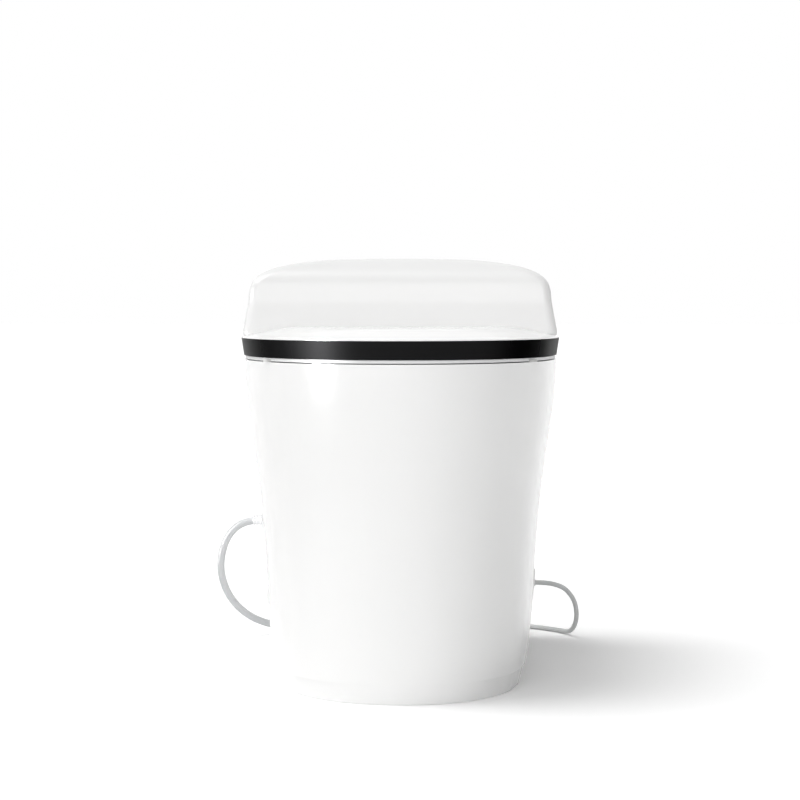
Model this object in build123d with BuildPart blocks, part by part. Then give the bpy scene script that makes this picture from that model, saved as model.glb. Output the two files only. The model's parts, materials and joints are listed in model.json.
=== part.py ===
"""Elongated one-piece toilet with a built-in wash seat, a hood for its works and a soft-close lid.

Millimetres, +Z up, the front towards -Y. The origin is the centre of the floor outlet, at floor level.
"""

from build123d import *
from math import cos, pi, radians, sin, sqrt, tan
import os

os.makedirs("parts", exist_ok=True)

# Overall sizes
rim_height = 400
back_face = 290
overrun = 2
touch_gap = 0.3
run_gap = 0.05
plan_power = 2.15
plan_steps = 7

# Ceramic body
wall = 10
deck = 12
foot_half_width = 155.4
foot_front = -370.5
foot_round = 225
rim_half_width = 202.4
rim_front = -396
rim_round = 416
back_corner = 34
step_height = 24
step_inset = 2
plinth_half_width = 147.4
plinth_front = -364
plinth_round = 215
skirt_height_shares = (0, 0.065, 0.25, 0.62, 1)
skirt_flare_shares = (0, 0.115, 0.28, 0.61, 1)
skirt_round_shares = (0, 0.12, 0.34, 0.73, 1)

# Basin, with shares by level: height, half width, and reach from the sump to the front and to the back
basin_wall = 9
basin_half_width = 132
basin_front = -358
basin_back = 18
basin_floor = 92
basin_level_shares = [
    (1, 1, 1, 1),
    (0.84, 0.924, 0.94, 0.98),
    (0.735, 0.848, 0.877, 0.793),
    (0.626, 0.742, 0.78, 0.577),
    (0.51, 0.621, 0.656, 0.408),
    (0.38, 0.47, 0.521, 0.268),
    (0.187, 0.341, 0.35, 0.202),
    (0.042, 0.212, 0.2, 0.127),
]

# Trapway
trap_bore = 25
trap_wall = 7
sump_y = -195
sump_height = 133
rise_y = -100
weir_y = -66
weir_height = 245
trap_bend = 36

# Jet into the sump
jet_x = 62
jet_y = -205
jet_height = 125
jet_boss = 14

# Pocket behind the basin for the wash wand and the dryer outlet
pocket_left = -24
pocket_right = 84
pocket_front = -30
pocket_back = 78
pocket_floor = 352

# Fixings through the deck
bolt_x = 130
bolt_front_y = 96
bolt_back_y = 266
bolt_radius = 4
bolt_hole = 4.6
bolt_head = 7
bolt_head_height = 5

# Side fixings
side_y = -112
side_height = 110
side_tilt = 6.6
flank_bow = 0.45
side_bore = 19.7
side_bore_depth = 5
cap_radius = 25
cap_seat_depth = 3.6
cap_thickness = 4.6
cap_gap = 0.3
side_screw_radius = 4
side_screw_hole = 4.5
side_screw_head = 9
side_screw_head_height = 1.2
side_screw_reach = 24

# Floor brackets
bracket_sheet = 4
bracket_width = 50
bracket_foot = 40
bracket_height = 126
floor_screw_head = 7
floor_screw_height = 4
floor_screw_radius = 3.2

# Outlet seal
seal_width = 20
seal_height = 18

# Hinge of the lid and the seat
hinge_y = 62
hinge_height = 432
hinge_shell = 9
knuckle = 7
pin_radius = 3.5
barrel_half = 82
fixed_from = 84
fixed_to = 104
lug_from = 106
lug_to = 122
outer_from = 124
outer_to = 134
pin_from = 76
pin_to = 132
damper_radius = 5.4
damper_length = 14

# Lid
lid_half_width = 206
lid_front = -400
lid_round = 419
lid_back = hinge_y + hinge_shell
band_low = 405.3
band_high = 427.4
band_lean = 3.3
band_inner = 5.8
band_gap = 0.15
lid_wall = 2.6
inner_inset = band_inner + band_gap + lid_wall
lip = 1.2
lid_top = hinge_height + hinge_shell
pillow_rise_shares = (0.13, 0.3, 0.75, 0.94, 1)
pillow_inset_shares = (0.09, 0.25, 0.6, 0.84, 1)
pillow_inset = 78
lid_skin = 3
liner_thickness = 2.3
liner_back = 8
liner_gap = 0.3
lid_bumper_radius = 7
lid_bumper_x = 150
lid_bumper_front_y = -230
lid_bumper_back_y = -40

# Seat
seat_gap = 1.2
seat_edge = 3.7
seat_edge_inset = 1.9
seat_inset = 13
seat_top = 423
seat_back = 8
seat_round_off = 5
seat_hole_half_width = 108
seat_hole_front = -342
seat_hole_back = -30
seat_wall = 3
heater_foil = 0.8
seat_bumper_radius = 8
seat_bumper_x = 158
seat_bumper_front_y = -250
seat_bumper_back_y = -60
seat_bumper_recess = 2
arm_height = 12
arm_low = 7

# Hood, with shares by slice below its crown: height, half width, front and back
hood_foot = band_high
hood_top = 532.8
hood_skin = 3.5
hood_gap = 1.8
hood_front = lid_back + hood_gap
hood_back = 288
hood_half_width = 210.5
hood_corner = 12
hood_back_corner = 42
hood_slice_shares = [
    (0, 0.988, 0, 1),
    (0.06, 1, 0.004, 1),
    (0.14, 0.994, 0.02, 1.002),
    (0.28, 0.982, 0.05, 1.004),
    (0.44, 0.97, 0.084, 1.003),
]
crown_foot_share = 0.5
crown_width_share = 0.963
crown_front_share = 0.096
crown_middle_share = 0.58
crown_width_power = 3
crown_depth_power = 2.3
crown_steps = 10
crown_sweep = 84
front_corner_share = 0.06
front_corner_growth_share = 0.4
back_corner_share = 0.195
back_corner_growth_share = 0.2
hood_rest = 1.5
hood_arch_top = 439
hood_arch_half = 13

# Flush button on the hood's right flank
button_y = 178
button_height = 470
button_radius = 12
button_travel = 2.5
button_side_share = 0.968
button_proud = 1.2
button_length = 11
bezel_width = 2.2
bezel_length = button_length + 2 * button_travel
stem_radius = 3
switch_size = 14
switch_depth = 10
switch_plate = 2.5

# Chassis
chassis_half_width = 182
chassis_front = 12
chassis_back = 276
chassis_sheet = 4
chassis_corner = 14
chassis_notch_left = -17
chassis_notch_right = 81
chassis_notch_back = 96
cover_half_width = 100
cover_back = 50
cover_top = 421
cover_sheet = 2.5
cover_round = 5
light_x = -62
light_width = 22
light_height = 5
light_depth = 1.2
hinge_stand = 6
hinge_stand_set_back = 1.6
hinge_foot = 18
hinge_foot_height = 3

# Wash wand
wand_slope = 38
wand_tip_y = 5
wand_under_barrel = 16
wand_radius = 8
wand_bore_gap = 0.08
wand_grip = 75
wand_travel = 110
wand_length = wand_grip + wand_travel
wand_tip_length = 16
housing_wall = 2.4
housing_from = 8
housing_to = 194
housing_foot_from = 92
housing_foot_to = 118
spray_hole = 1
spray_spacing = 4
wand_motor_radius = 11
wand_motor_length = 26
wand_motor_at = 134

# Water heater
heater_left = -160
heater_right = -62
heater_front = 112
heater_back = 196
heater_height = 50
heater_round = 8
heater_port = 5
heater_port_length = 8
wash_tube_radius = 3.5
wash_tube_bore = 2

# Inlet, filter and valve
inlet_y = 235
inlet_height = 168
inlet_x = 150
inlet_tube = 6
inlet_tube_bore = 4.4
inlet_tube_bend = 14
inlet_thread = 10.3
inlet_hole = 10.8
inlet_flange = 15
inlet_flange_length = 3
inlet_reach = 12
inlet_end = 16
filter_radius = 13
filter_height = 40
filter_cap_height = 6
filter_cap_radius = 10.4
valve_left = -136.5
valve_right = -72
valve_depth = 34
valve_height = 24
solenoid_radius = 13
solenoid_height = 26
fill_x = -92
fill_radius = 7
fill_bore = 5

# Reservoir and flush pump
tank_half_width = 112
tank_front = 94
tank_back = 272
tank_floor = 215
tank_sheet = 3
tank_round = 14
tab_width = 34
tab_depth = 20
tab_thickness = 8
pump_x = -30
pump_y = 190
pump_radius = 38
pump_height = 40
pump_neck = 14
pump_neck_length = 25
pump_sheet = 3
impeller_gap = 2
motor_radius = 28
motor_height = 52
shaft_radius = 4
jet_radius = 9
jet_bore = 6.5

# Dryer
blower_x = 76
blower_y = 150
blower_radius = 36
blower_height = 34
blower_sheet = 2
duct_left = 42
duct_right = 76
duct_low = 405
duct_high = 418
duct_front = 16
spout_depth = 16
spout_low = 374
duct_sheet = 1.6
flap_height = 14
flap_thickness = 1.5
flap_pin = 1.2

# Deodoriser
scent_x = 150
scent_y = 142
scent_radius = 26
scent_height = 32

# Electronics
board_left = -44
board_right = 62
board_front = 214
board_back = 272
board_sheet = 1.6
board_height = 416
chip_first_share = 0.12
chip_pitch_share = 0.2
post_radius = 4
supply_left = 118
supply_right = 178
supply_front = 203
supply_back = 254
supply_height = 42

# Mains cord
cord_radius = 3.3
gland_y = 240
gland_height = 80
gland_hole = 8
gland_flange = 11
gland_flange_length = 3
gland_tip = 4.6
lead_x = 150
lead_route = [
    (158, 240, 80),
    (146, 240, 80),
    (132, 240, 88),
    (124, 240, 102),
    (121, 240, 124),
    (122, 240, 166),
    (129, 240, 236),
    (141, 240, 306),
    (150, 240, 366),
    (150, 240, 414),
]
cord_route = [
    (190, 240, 80),
    (222, 240, 80),
    (245, 243, 58),
    (250, 252, 28),
    (243, 275, 6),
    (232, 309, 3.4),
    (205, 346, 3.4),
    (165, 377, 3.4),
    (118, 392, 3.4),
    (81.6, 392, 3.4),
]
tail_route = [
    (81.6, 304, 10.9),
    (92, 304, 10.9),
    (103, 304.8, 10.7),
    (114, 304.8, 10.7),
]
coil_x = 75
coil_y = 348
coil_outer = 44
coil_pitch = 8.2
coil_lift = 7.5
coil_turns = 1.5

# Plug
plug_length = 34
plug_width = 26
plug_thickness = 20
plug_round = 6
neck_length = 18
neck_radius = 6
blade_length = 16
blade_width = 6.3
blade_thickness = 1.5
blade_spacing = 12.7
earth_radius = 2.4
earth_length = 18
earth_drop = 6.3

# Supply hose
hose_radius = 5
hose_nut = 12
hose_nut_length = 16
hose_route = [
    (-193, 235, 168),
    (-216, 235, 168),
    (-240, 235.5, 150),
    (-251.5, 238, 118),
    (-251, 246, 85),
    (-238, 262, 52),
    (-212, 284, 25),
    (-175, 306, 10),
    (-132, 322, 6),
    (-88, 331, 7),
    (-46, 333, 12.1),
    (-16, 333, 12.1),
]


def blend(low, high, share):
    """The size a share of the way from low to high."""
    return low + (high - low) * share


def plan(half_width, front, round_length, back, corner, height):
    """A level outline with a rounded nose, straight flanks and a square back."""
    flank = front + round_length
    turns = [pi / 2 * k / plan_steps for k in range(plan_steps + 1)]
    nose = [
        (
            half_width * sin(turn) ** (2 / plan_power),
            flank - round_length * cos(turn) ** (2 / plan_power),
        )
        for turn in turns[:-1]
    ]
    nose.append((half_width, flank))
    mirrored = [(-x, y) for x, y in reversed(nose[1:])]
    with BuildSketch(Plane.XY.offset(height)) as outline:
        with BuildLine():
            Spline(*mirrored, *nose, tangents=[(0, -1), (0, 1)])
            Polyline((half_width, flank), (half_width, back), (-half_width, back), (-half_width, flank))
        make_face()
        if corner:
            fillet(outline.vertices().group_by(Axis.Y)[-1], corner)
    return outline.sketch


def slab(half_width, front, back, front_corner, back_corner, height):
    """A level rounded rectangle, the slice of the hood at one height."""
    with BuildSketch(Plane.XY.offset(height)) as outline:
        with BuildLine():
            Polyline(
                (-half_width, front), (half_width, front), (half_width, back), (-half_width, back), close=True
            )
        make_face()
        fillet(outline.vertices().group_by(Axis.Y)[0], front_corner)
        fillet(outline.vertices().group_by(Axis.Y)[-1], back_corner)
    return outline.sketch


def oval(half_width, front, back, height):
    """A level ellipse between a front and a back."""
    with BuildSketch(Plane.XY.offset(height)) as outline:
        with Locations((0, (front + back) / 2)):
            Ellipse(half_width, (back - front) / 2)
    return outline.sketch


def block(left, right, front, back, low, high, round_off=0):
    """A box between named faces, its upright edges rounded."""
    with BuildPart() as solid:
        with BuildSketch(Plane.XY.offset(low)):
            with Locations(((left + right) / 2, (front + back) / 2)):
                if round_off:
                    RectangleRounded(right - left, back - front, round_off)
                else:
                    Rectangle(right - left, back - front)
        extrude(amount=high - low)
    return solid.part


def post(x, y, low, high, radius, bore=0):
    """An upright round post, with an optional bore."""
    with BuildPart() as solid:
        with BuildSketch(Plane.XY.offset(low)):
            with Locations((x, y)):
                Circle(radius)
                if bore:
                    Circle(bore, mode=Mode.SUBTRACT)
        extrude(amount=high - low)
    return solid.part


def rod(left, right, y, height, radius, bore=0):
    """A round bar along X, with an optional bore."""
    with BuildPart() as solid:
        with BuildSketch(Plane.YZ.offset(left)):
            with Locations((y, height)):
                Circle(radius)
                if bore:
                    Circle(bore, mode=Mode.SUBTRACT)
        extrude(amount=right - left)
    return solid.part


def tube(route, radii, radius, bore=0):
    """A round tube along straight runs joined by tangent arcs."""
    with BuildPart() as solid:
        with BuildLine() as path:
            FilletPolyline(*route, radius=radii)
        with BuildSketch(Plane(origin=path.line @ 0, z_dir=path.line % 0)):
            Circle(radius)
            if bore:
                Circle(bore, mode=Mode.SUBTRACT)
        sweep(path=path.line)
    return solid.part


def largest_radii(route):
    """At each corner, the arc of 0.45 of the shorter run over the tangent of half the turn."""
    corners = [Vector(*point) for point in route]
    radii = []
    for before, corner, after in zip(corners, corners[1:], corners[2:]):
        turn = radians((corner - before).get_angle(after - corner))
        shorter = min((corner - before).length, (after - corner).length)
        radii.append(0.45 * shorter / tan(turn / 2))
    return radii


def free_tube(name, route, radius):
    """A cord or hose along its route, with its radii and its volume printed."""
    radii = largest_radii(route)
    solid = tube(route, radii, radius)
    with BuildLine() as path:
        FilletPolyline(*route, radius=radii)
    length = sum(edge.length for edge in path.edges())
    print(name, "length", round(length, 1), "radii in diameters", [round(r / radius / 2, 1) for r in radii])
    print(name, "volume over section times length", round(solid.volume / (pi * radius**2 * length), 4))
    return solid


def lid_plan(inset, height, back=lid_back):
    """The lid's outline, drawn in by an inset all round its front and flanks."""
    return plan(lid_half_width - inset, lid_front + inset, lid_round - inset, back, 0, height)


def lid_pillow(drop, inset, back):
    """The crowned top of the lid, or the same form lowered and drawn in for its inside."""
    edge = band_high + lip
    return [
        lid_plan(
            pillow_inset * inset_share + inset,
            blend(edge, lid_top, rise_share) - drop,
            back,
        )
        for inset_share, rise_share in zip(pillow_inset_shares, pillow_rise_shares)
    ]


def lid_panel(inset, low, high, back):
    """A level panel that follows the lid's front and flanks and is cut straight at the back."""
    with BuildPart() as panel:
        extrude(lid_plan(inset, low), amount=high - low)
        split(bisect_by=Plane.XZ.offset(-back), keep=Keep.TOP)
    return panel.part


def save(part, name):
    """Labels a finished piece and writes it."""
    part.label = name
    export_step(part, f"parts/{name}.step")


# Ceramic bowl
def skirt_sections(inset, low=step_height):
    """The skirt's outlines from its foot to the rim."""
    sections = []
    for height_share, flare_share, round_share in zip(
        skirt_height_shares, skirt_flare_shares, skirt_round_shares
    ):
        sections.append(
            plan(
                blend(foot_half_width, rim_half_width, flare_share) - inset,
                blend(foot_front, rim_front, flare_share) + inset,
                blend(foot_round, rim_round, round_share) - inset,
                back_face - inset,
                back_corner - inset,
                blend(low, rim_height, height_share),
            )
        )
    return sections


def flank_at(height):
    """The skirt's half width at a height, along straight lines between its sections."""
    reached = (height - step_height) / (rim_height - step_height)
    half_width = rim_half_width
    for low, high, low_flare, high_flare in zip(
        skirt_height_shares, skirt_height_shares[1:], skirt_flare_shares, skirt_flare_shares[1:]
    ):
        if low <= reached <= high:
            flare = blend(low_flare, high_flare, (reached - low) / (high - low))
            half_width = blend(foot_half_width, rim_half_width, flare)
    return half_width


def basin_slice(outset, level):
    """The basin's outline at a level, enlarged all round by an outset, and never above the rim with one."""
    height_share, width_share, front_share, back_share = level
    height = blend(basin_floor, rim_height + overrun, height_share)
    return oval(
        basin_half_width * width_share + outset,
        blend(sump_y, basin_front, front_share) - outset,
        blend(sump_y, basin_back, back_share) + outset,
        min(height, rim_height) if outset else height,
    )


side_x = flank_at(side_height) - flank_bow
side_planes = [
    Plane(
        origin=(way * side_x, side_y, side_height),
        x_dir=(0, 1, 0),
        z_dir=(way * cos(radians(side_tilt)), 0, -sin(radians(side_tilt))),
    )
    for way in (-1, 1)
]
trap_route = [
    (0, sump_y, sump_height),
    (0, rise_y, sump_height),
    (0, weir_y, weir_height),
    (0, 0, weir_height),
    (0, 0, 0),
]
flank_at_inlet = flank_at(inlet_height)
flank_at_gland = flank_at(gland_height) + flank_bow
bolt_places = [(way * bolt_x, y) for way in (-1, 1) for y in (bolt_front_y, bolt_back_y)]

with BuildPart() as hollow:
    loft(sections=skirt_sections(wall, -overrun))
    split(bisect_by=Plane.XY.offset(rim_height - deck), keep=Keep.BOTTOM)

with BuildPart() as ceramic_bowl:
    loft(sections=skirt_sections(0))
    loft(
        sections=[
            plan(plinth_half_width, plinth_front, plinth_round, back_face - 2 * step_inset, back_corner, 0),
            plan(
                foot_half_width - step_inset,
                foot_front + step_inset,
                foot_round - step_inset,
                back_face - step_inset,
                back_corner,
                step_height,
            ),
        ],
        ruled=True,
    )
    add(hollow.part, mode=Mode.SUBTRACT)
    sump_half = basin_half_width * basin_level_shares[-1][1]
    loft(
        sections=[basin_slice(basin_wall, level) for level in basin_level_shares]
        + [oval(sump_half, sump_y - sump_half, sump_y + sump_half, basin_floor - basin_wall)]
    )
    add(tube(trap_route, [trap_bend] * 3, trap_bore + trap_wall))
    add(
        block(
            pocket_left - basin_wall,
            pocket_right + basin_wall,
            0,
            pocket_back + basin_wall,
            pocket_floor - basin_wall,
            rim_height - deck,
        )
    )
    with Locations((-jet_x, jet_y, jet_height)):
        Cylinder(jet_radius + basin_wall / 2, 2 * jet_boss, rotation=(0, 90, 0))
    loft(
        sections=[basin_slice(0, level) for level in basin_level_shares]
        + [oval(sump_half / 2, sump_y - sump_half / 2, sump_y + sump_half / 2, basin_floor)],
        mode=Mode.SUBTRACT,
    )
    add(tube(trap_route[:-1] + [(0, 0, -overrun)], [trap_bend] * 3, trap_bore), mode=Mode.SUBTRACT)
    add(
        block(pocket_left, pocket_right, pocket_front, pocket_back, pocket_floor, rim_height + overrun),
        mode=Mode.SUBTRACT,
    )
    with Locations((-jet_x, jet_y, jet_height)):
        Cylinder(jet_bore, 2 * jet_x, rotation=(0, 90, 0), mode=Mode.SUBTRACT)
    with Locations(*[(x, y, rim_height) for x, y in bolt_places]):
        Hole(bolt_hole, depth=2 * deck)
    with Locations((fill_x, inlet_y, rim_height)):
        Hole(fill_radius + touch_gap, depth=2 * deck)
    with Locations((-inlet_x, inlet_y, rim_height)):
        Hole(inlet_tube + 1.5 * touch_gap, depth=2 * deck)
    with Locations((lead_x, gland_y, rim_height)):
        Hole(cord_radius + 4 * touch_gap, depth=2 * deck)
    for plane in side_planes:
        with Locations(plane):
            CounterBoreHole(side_screw_hole, side_bore, side_bore_depth, depth=2 * wall)
            Hole(cap_radius + cap_gap, depth=cap_seat_depth)
    with Locations(Plane.YZ.offset(-flank_at_inlet)):
        with Locations((inlet_y, inlet_height)):
            Cylinder(inlet_hole, 4 * wall, mode=Mode.SUBTRACT)
    with Locations(Plane.YZ.offset(flank_at_gland)):
        with Locations((gland_y, gland_height)):
            Cylinder(gland_hole, 4 * wall, mode=Mode.SUBTRACT)
    print("ceramic solids", len(ceramic_bowl.solids()), "volume", round(ceramic_bowl.part.volume))
save(ceramic_bowl.part, "ceramic_bowl")

# Outlet seal
horn_radius = trap_bore + trap_wall
save(post(0, 0, 0, seal_height, horn_radius + touch_gap + seal_width, horn_radius + touch_gap), "outlet_seal")

# Floor brackets, with the screws that hold them down and the screws that hold the bowl to them
bracket_x = foot_half_width - wall - touch_gap
with BuildPart() as floor_brackets:
    for way in (-1, 1):
        with BuildSketch(Plane.XZ.offset(-side_y + bracket_width / 2)):
            with BuildLine():
                Polyline(
                    (way * bracket_x, 0),
                    (way * bracket_x, bracket_height),
                    (way * (bracket_x - bracket_sheet), bracket_height),
                    (way * (bracket_x - bracket_sheet), bracket_sheet),
                    (way * (bracket_x - bracket_foot), bracket_sheet),
                    (way * (bracket_x - bracket_foot), 0),
                    close=True,
                )
            make_face()
        extrude(amount=-bracket_width)
    with Locations((0, side_y, bracket_sheet / 2)):
        with GridLocations(2 * bracket_x - bracket_foot - bracket_sheet, bracket_width / 2, 2, 2):
            Hole(floor_screw_radius + touch_gap, depth=bracket_sheet)
    for plane in side_planes:
        with Locations(plane):
            Hole(side_screw_hole, depth=4 * wall)
save(floor_brackets.part, "floor_brackets")

with BuildPart() as floor_screws:
    with Locations((0, side_y, 0)):
        with GridLocations(2 * bracket_x - bracket_foot - bracket_sheet, bracket_width / 2, 2, 2):
            Cylinder(floor_screw_radius, bracket_sheet, align=(Align.CENTER, Align.CENTER, Align.MIN))
    with Locations((0, side_y, bracket_sheet)):
        with GridLocations(2 * bracket_x - bracket_foot - bracket_sheet, bracket_width / 2, 2, 2):
            Cylinder(floor_screw_head, floor_screw_height, align=(Align.CENTER, Align.CENTER, Align.MIN))
    chamfer(floor_screws.faces().group_by(Axis.Z)[-1].edges(), floor_screw_height / 4)
save(floor_screws.part, "floor_screws")

with BuildPart() as side_screws:
    for plane in side_planes:
        with BuildSketch(plane.offset(-side_bore_depth)):
            Circle(side_screw_head)
        extrude(amount=side_screw_head_height)
        with BuildSketch(plane.offset(-side_bore_depth)):
            Circle(side_screw_radius)
        extrude(amount=-side_screw_reach)
save(side_screws.part, "side_screws")

with BuildPart() as side_caps:
    for plane in side_planes:
        with BuildSketch(plane.offset(-cap_seat_depth + touch_gap / 2)):
            Circle(cap_radius)
        extrude(amount=cap_thickness)
    fillet(side_caps.edges().group_by(SortBy.LENGTH)[-1], cap_thickness / 5)
save(side_caps.part, "side_caps")

# Lid
with BuildPart() as lid_band:
    loft(sections=[lid_plan(band_lean, band_low), lid_plan(0, band_high)], ruled=True)
    extrude(
        lid_plan(band_inner, band_low - overrun, lid_back + overrun),
        amount=hinge_height,
        mode=Mode.SUBTRACT,
    )
save(lid_band.part, "lid_band")

with BuildPart() as rear_corner:
    with BuildSketch(Plane.YZ.offset(-lid_half_width - overrun)):
        with BuildLine():
            RadiusArc((hinge_y, lid_top), (lid_back, hinge_height), hinge_shell)
            Polyline(
                (lid_back, hinge_height),
                (lid_back + overrun, hinge_height),
                (lid_back + overrun, lid_top + overrun),
                (hinge_y, lid_top + overrun),
                (hinge_y, lid_top),
            )
        make_face()
    extrude(amount=2 * (lid_half_width + overrun))

with BuildPart() as lid_shell:
    edge_height = band_high + lip
    extrude(lid_plan(0, band_high), amount=lip)
    loft(sections=[lid_plan(0, edge_height)] + lid_pillow(0, 0, lid_back))
    extrude(lid_plan(band_inner + band_gap, band_low), amount=band_high - band_low)
    extrude(
        lid_plan(inner_inset, band_low - overrun, lid_back + overrun),
        amount=band_high - band_low + overrun,
        mode=Mode.SUBTRACT,
    )
    loft(
        sections=[lid_plan(inner_inset, band_high - overrun / 2, hinge_y - hinge_shell)]
        + lid_pillow(lid_skin, lid_skin, hinge_y - hinge_shell),
        ruled=True,
        mode=Mode.SUBTRACT,
    )
    add(rear_corner.part, mode=Mode.SUBTRACT)
    for left in (-outer_to, barrel_half):
        right = left + outer_to - barrel_half
        ceiling = hinge_height + knuckle + touch_gap
        add(block(left, right, liner_back, hinge_y, band_high - lid_skin, ceiling), mode=Mode.SUBTRACT)
        add(block(left, right, hinge_y, lid_back + overrun, band_low, hinge_height), mode=Mode.SUBTRACT)
        add(rod(left, right, hinge_y, hinge_height, knuckle + touch_gap), mode=Mode.SUBTRACT)
    add(
        block(-barrel_half, barrel_half, hinge_y - hinge_shell, lid_back + overrun, band_low, hinge_height),
        mode=Mode.SUBTRACT,
    )
    add(rod(-barrel_half, barrel_half, hinge_y, hinge_height, hinge_shell))
    for left in (-outer_to, outer_from):
        add(rod(left, left + outer_to - outer_from, hinge_y, hinge_height, hinge_shell - touch_gap))
    for left in (-pin_to - overrun, pin_from - overrun):
        right = left + pin_to - pin_from + 2 * overrun
        add(rod(left, right, hinge_y, hinge_height, pin_radius + run_gap), mode=Mode.SUBTRACT)
    print("lid solids", len(lid_shell.solids()))
save(lid_shell.part, "lid_shell")

liner_high = band_high - touch_gap
save(lid_panel(inner_inset + touch_gap, liner_high - liner_thickness, liner_high, liner_back), "lid_liner")

with BuildPart() as lid_bumpers:
    with Locations(
        *[
            (way * lid_bumper_x, y, seat_top + liner_gap)
            for way in (-1, 1)
            for y in (lid_bumper_front_y, lid_bumper_back_y)
        ]
    ):
        Cylinder(
            lid_bumper_radius,
            liner_high - liner_thickness - seat_top - liner_gap,
            align=(Align.CENTER, Align.CENTER, Align.MIN),
        )
save(lid_bumpers.part, "lid_bumpers")

# Seat
seat_low = rim_height + seat_gap
seat_joint = seat_low + seat_edge
seat_bumper_places = [
    (way * seat_bumper_x, y) for way in (-1, 1) for y in (seat_bumper_front_y, seat_bumper_back_y)
]


def seat_hole(outset, height):
    """The seat's opening, enlarged all round by an outset."""
    return oval(seat_hole_half_width + outset, seat_hole_front - outset, seat_hole_back + outset, height)


with BuildPart() as seat_base:
    add(lid_panel(band_lean + seat_edge_inset, seat_low, seat_joint, seat_back))
    extrude(seat_hole(0, seat_low), amount=seat_edge, mode=Mode.SUBTRACT)
    for x, y in seat_bumper_places:
        add(
            post(x, y, seat_low, seat_low + seat_bumper_recess, seat_bumper_radius + run_gap),
            mode=Mode.SUBTRACT,
        )
save(seat_base.part, "seat_base")

with BuildPart() as seat_bumpers:
    for x, y in seat_bumper_places:
        add(post(x, y, rim_height + touch_gap, seat_low + seat_bumper_recess, seat_bumper_radius))
save(seat_bumpers.part, "seat_bumpers")

seat_ceiling = seat_top - seat_wall
with BuildPart() as hole_wall:
    extrude(seat_hole(seat_wall, seat_joint), amount=seat_ceiling - seat_joint)
    extrude(seat_hole(0, seat_joint), amount=seat_ceiling - seat_joint, mode=Mode.SUBTRACT)

with BuildPart() as seat_ring:
    add(lid_panel(seat_inset, seat_joint, seat_top, seat_back))
    extrude(seat_hole(0, seat_joint), amount=seat_top - seat_joint, mode=Mode.SUBTRACT)
    fillet(seat_ring.faces().sort_by(Axis.Z)[-1].edges(), seat_round_off)
    add(
        lid_panel(seat_inset + seat_wall, seat_joint, seat_ceiling, seat_back - seat_wall),
        mode=Mode.SUBTRACT,
    )
    add(hole_wall.part)
    for left in (-lug_to, lug_from):
        with BuildSketch(Plane.YZ.offset(left)):
            with Locations((hinge_y, hinge_height)):
                Circle(knuckle)
            with Locations((seat_back - seat_wall, seat_joint + arm_low + arm_height / 4)):
                Rectangle(seat_wall, arm_height / 2)
            make_hull()
            with Locations((hinge_y, hinge_height)):
                Circle(pin_radius + run_gap, mode=Mode.SUBTRACT)
        extrude(amount=lug_to - lug_from)
    print("seat ring solids", len(seat_ring.solids()))
save(seat_ring.part, "seat_ring")

foil_top = seat_ceiling - touch_gap
with BuildPart() as seat_heater:
    add(lid_panel(seat_inset + 3 * seat_wall, foil_top - heater_foil, foil_top, seat_back - 3 * seat_wall))
    extrude(seat_hole(3 * seat_wall, foil_top - heater_foil), amount=heater_foil, mode=Mode.SUBTRACT)
save(seat_heater.part, "seat_heater")

# Hood
deck_under = rim_height - deck
chassis_top = rim_height + chassis_sheet
hood_depth = hood_back - hood_front


def hood_rows():
    """The hood's shares by slice, foot to crown, each with the share of its depth that is left."""
    rows = [(*row, 1) for row in hood_slice_shares]
    for k in range(crown_steps):
        turn = radians(crown_sweep * (k + 1) / crown_steps)
        left = cos(turn) ** (2 / crown_depth_power)
        rows.append(
            (
                blend(crown_foot_share, 1, sin(turn) ** (2 / crown_width_power)),
                crown_width_share * cos(turn) ** (2 / crown_width_power),
                blend(crown_middle_share, crown_front_share, left),
                blend(crown_middle_share, 1, left),
                left,
            )
        )
    return rows


def hood_slices(inset):
    """The hood's slices from its foot to its crown, drawn in all round by an inset."""
    slices = []
    for height_share, width_share, front_share, back_share, left in hood_rows():
        depth = hood_depth * (back_share - front_share) - 2 * inset
        slices.append(
            slab(
                hood_half_width * width_share - inset,
                blend(hood_front, hood_back, front_share) + inset,
                blend(hood_front, hood_back, back_share) - inset,
                depth * (front_corner_share + front_corner_growth_share * (1 - left)),
                depth * (back_corner_share + back_corner_growth_share * (1 - left)),
                blend(hood_foot + inset, hood_top - inset, height_share),
            )
        )
    return slices


def hood_plan(inset, low, high):
    """A level panel that follows the hood's flanks and back under its foot."""
    with BuildPart() as panel:
        extrude(
            slab(
                lid_half_width - inset,
                hood_front + inset,
                hood_back - inset,
                hood_corner / 3,
                hood_back_corner - inset,
                low,
            ),
            amount=high - low,
        )
    return panel.part


button_plane = Plane(
    origin=(hood_half_width * button_side_share + button_proud, button_y, button_height),
    x_dir=(0, 1, 0),
    z_dir=(1, 0, 0),
)
hood_skirt_inset = band_inner + band_gap
with BuildPart() as hood_shell:
    loft(sections=hood_slices(0))
    loft(sections=hood_slices(hood_skin), mode=Mode.SUBTRACT)
    add(hood_plan(hood_skirt_inset, rim_height + hood_rest, hood_foot))
    add(hood_plan(hood_skirt_inset + lid_wall, rim_height, hood_foot + 2 * hood_skin), mode=Mode.SUBTRACT)
    for left, right, high in (
        (chassis_notch_left, chassis_notch_right, hood_foot + overrun),
        (-hood_arch_half, hood_arch_half, hood_arch_top),
        (-chassis_half_width - touch_gap, chassis_half_width + touch_gap, chassis_top + touch_gap),
    ):
        add(
            block(
                left,
                right,
                hood_front - overrun,
                hood_front + hood_skirt_inset + 2 * lid_wall,
                rim_height,
                high,
            ),
            mode=Mode.SUBTRACT,
        )
    with BuildSketch(button_plane.offset(-bezel_length)):
        Circle(button_radius + run_gap + bezel_width + touch_gap)
    extrude(amount=2 * bezel_length, mode=Mode.SUBTRACT)
save(hood_shell.part, "hood_shell")

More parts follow.
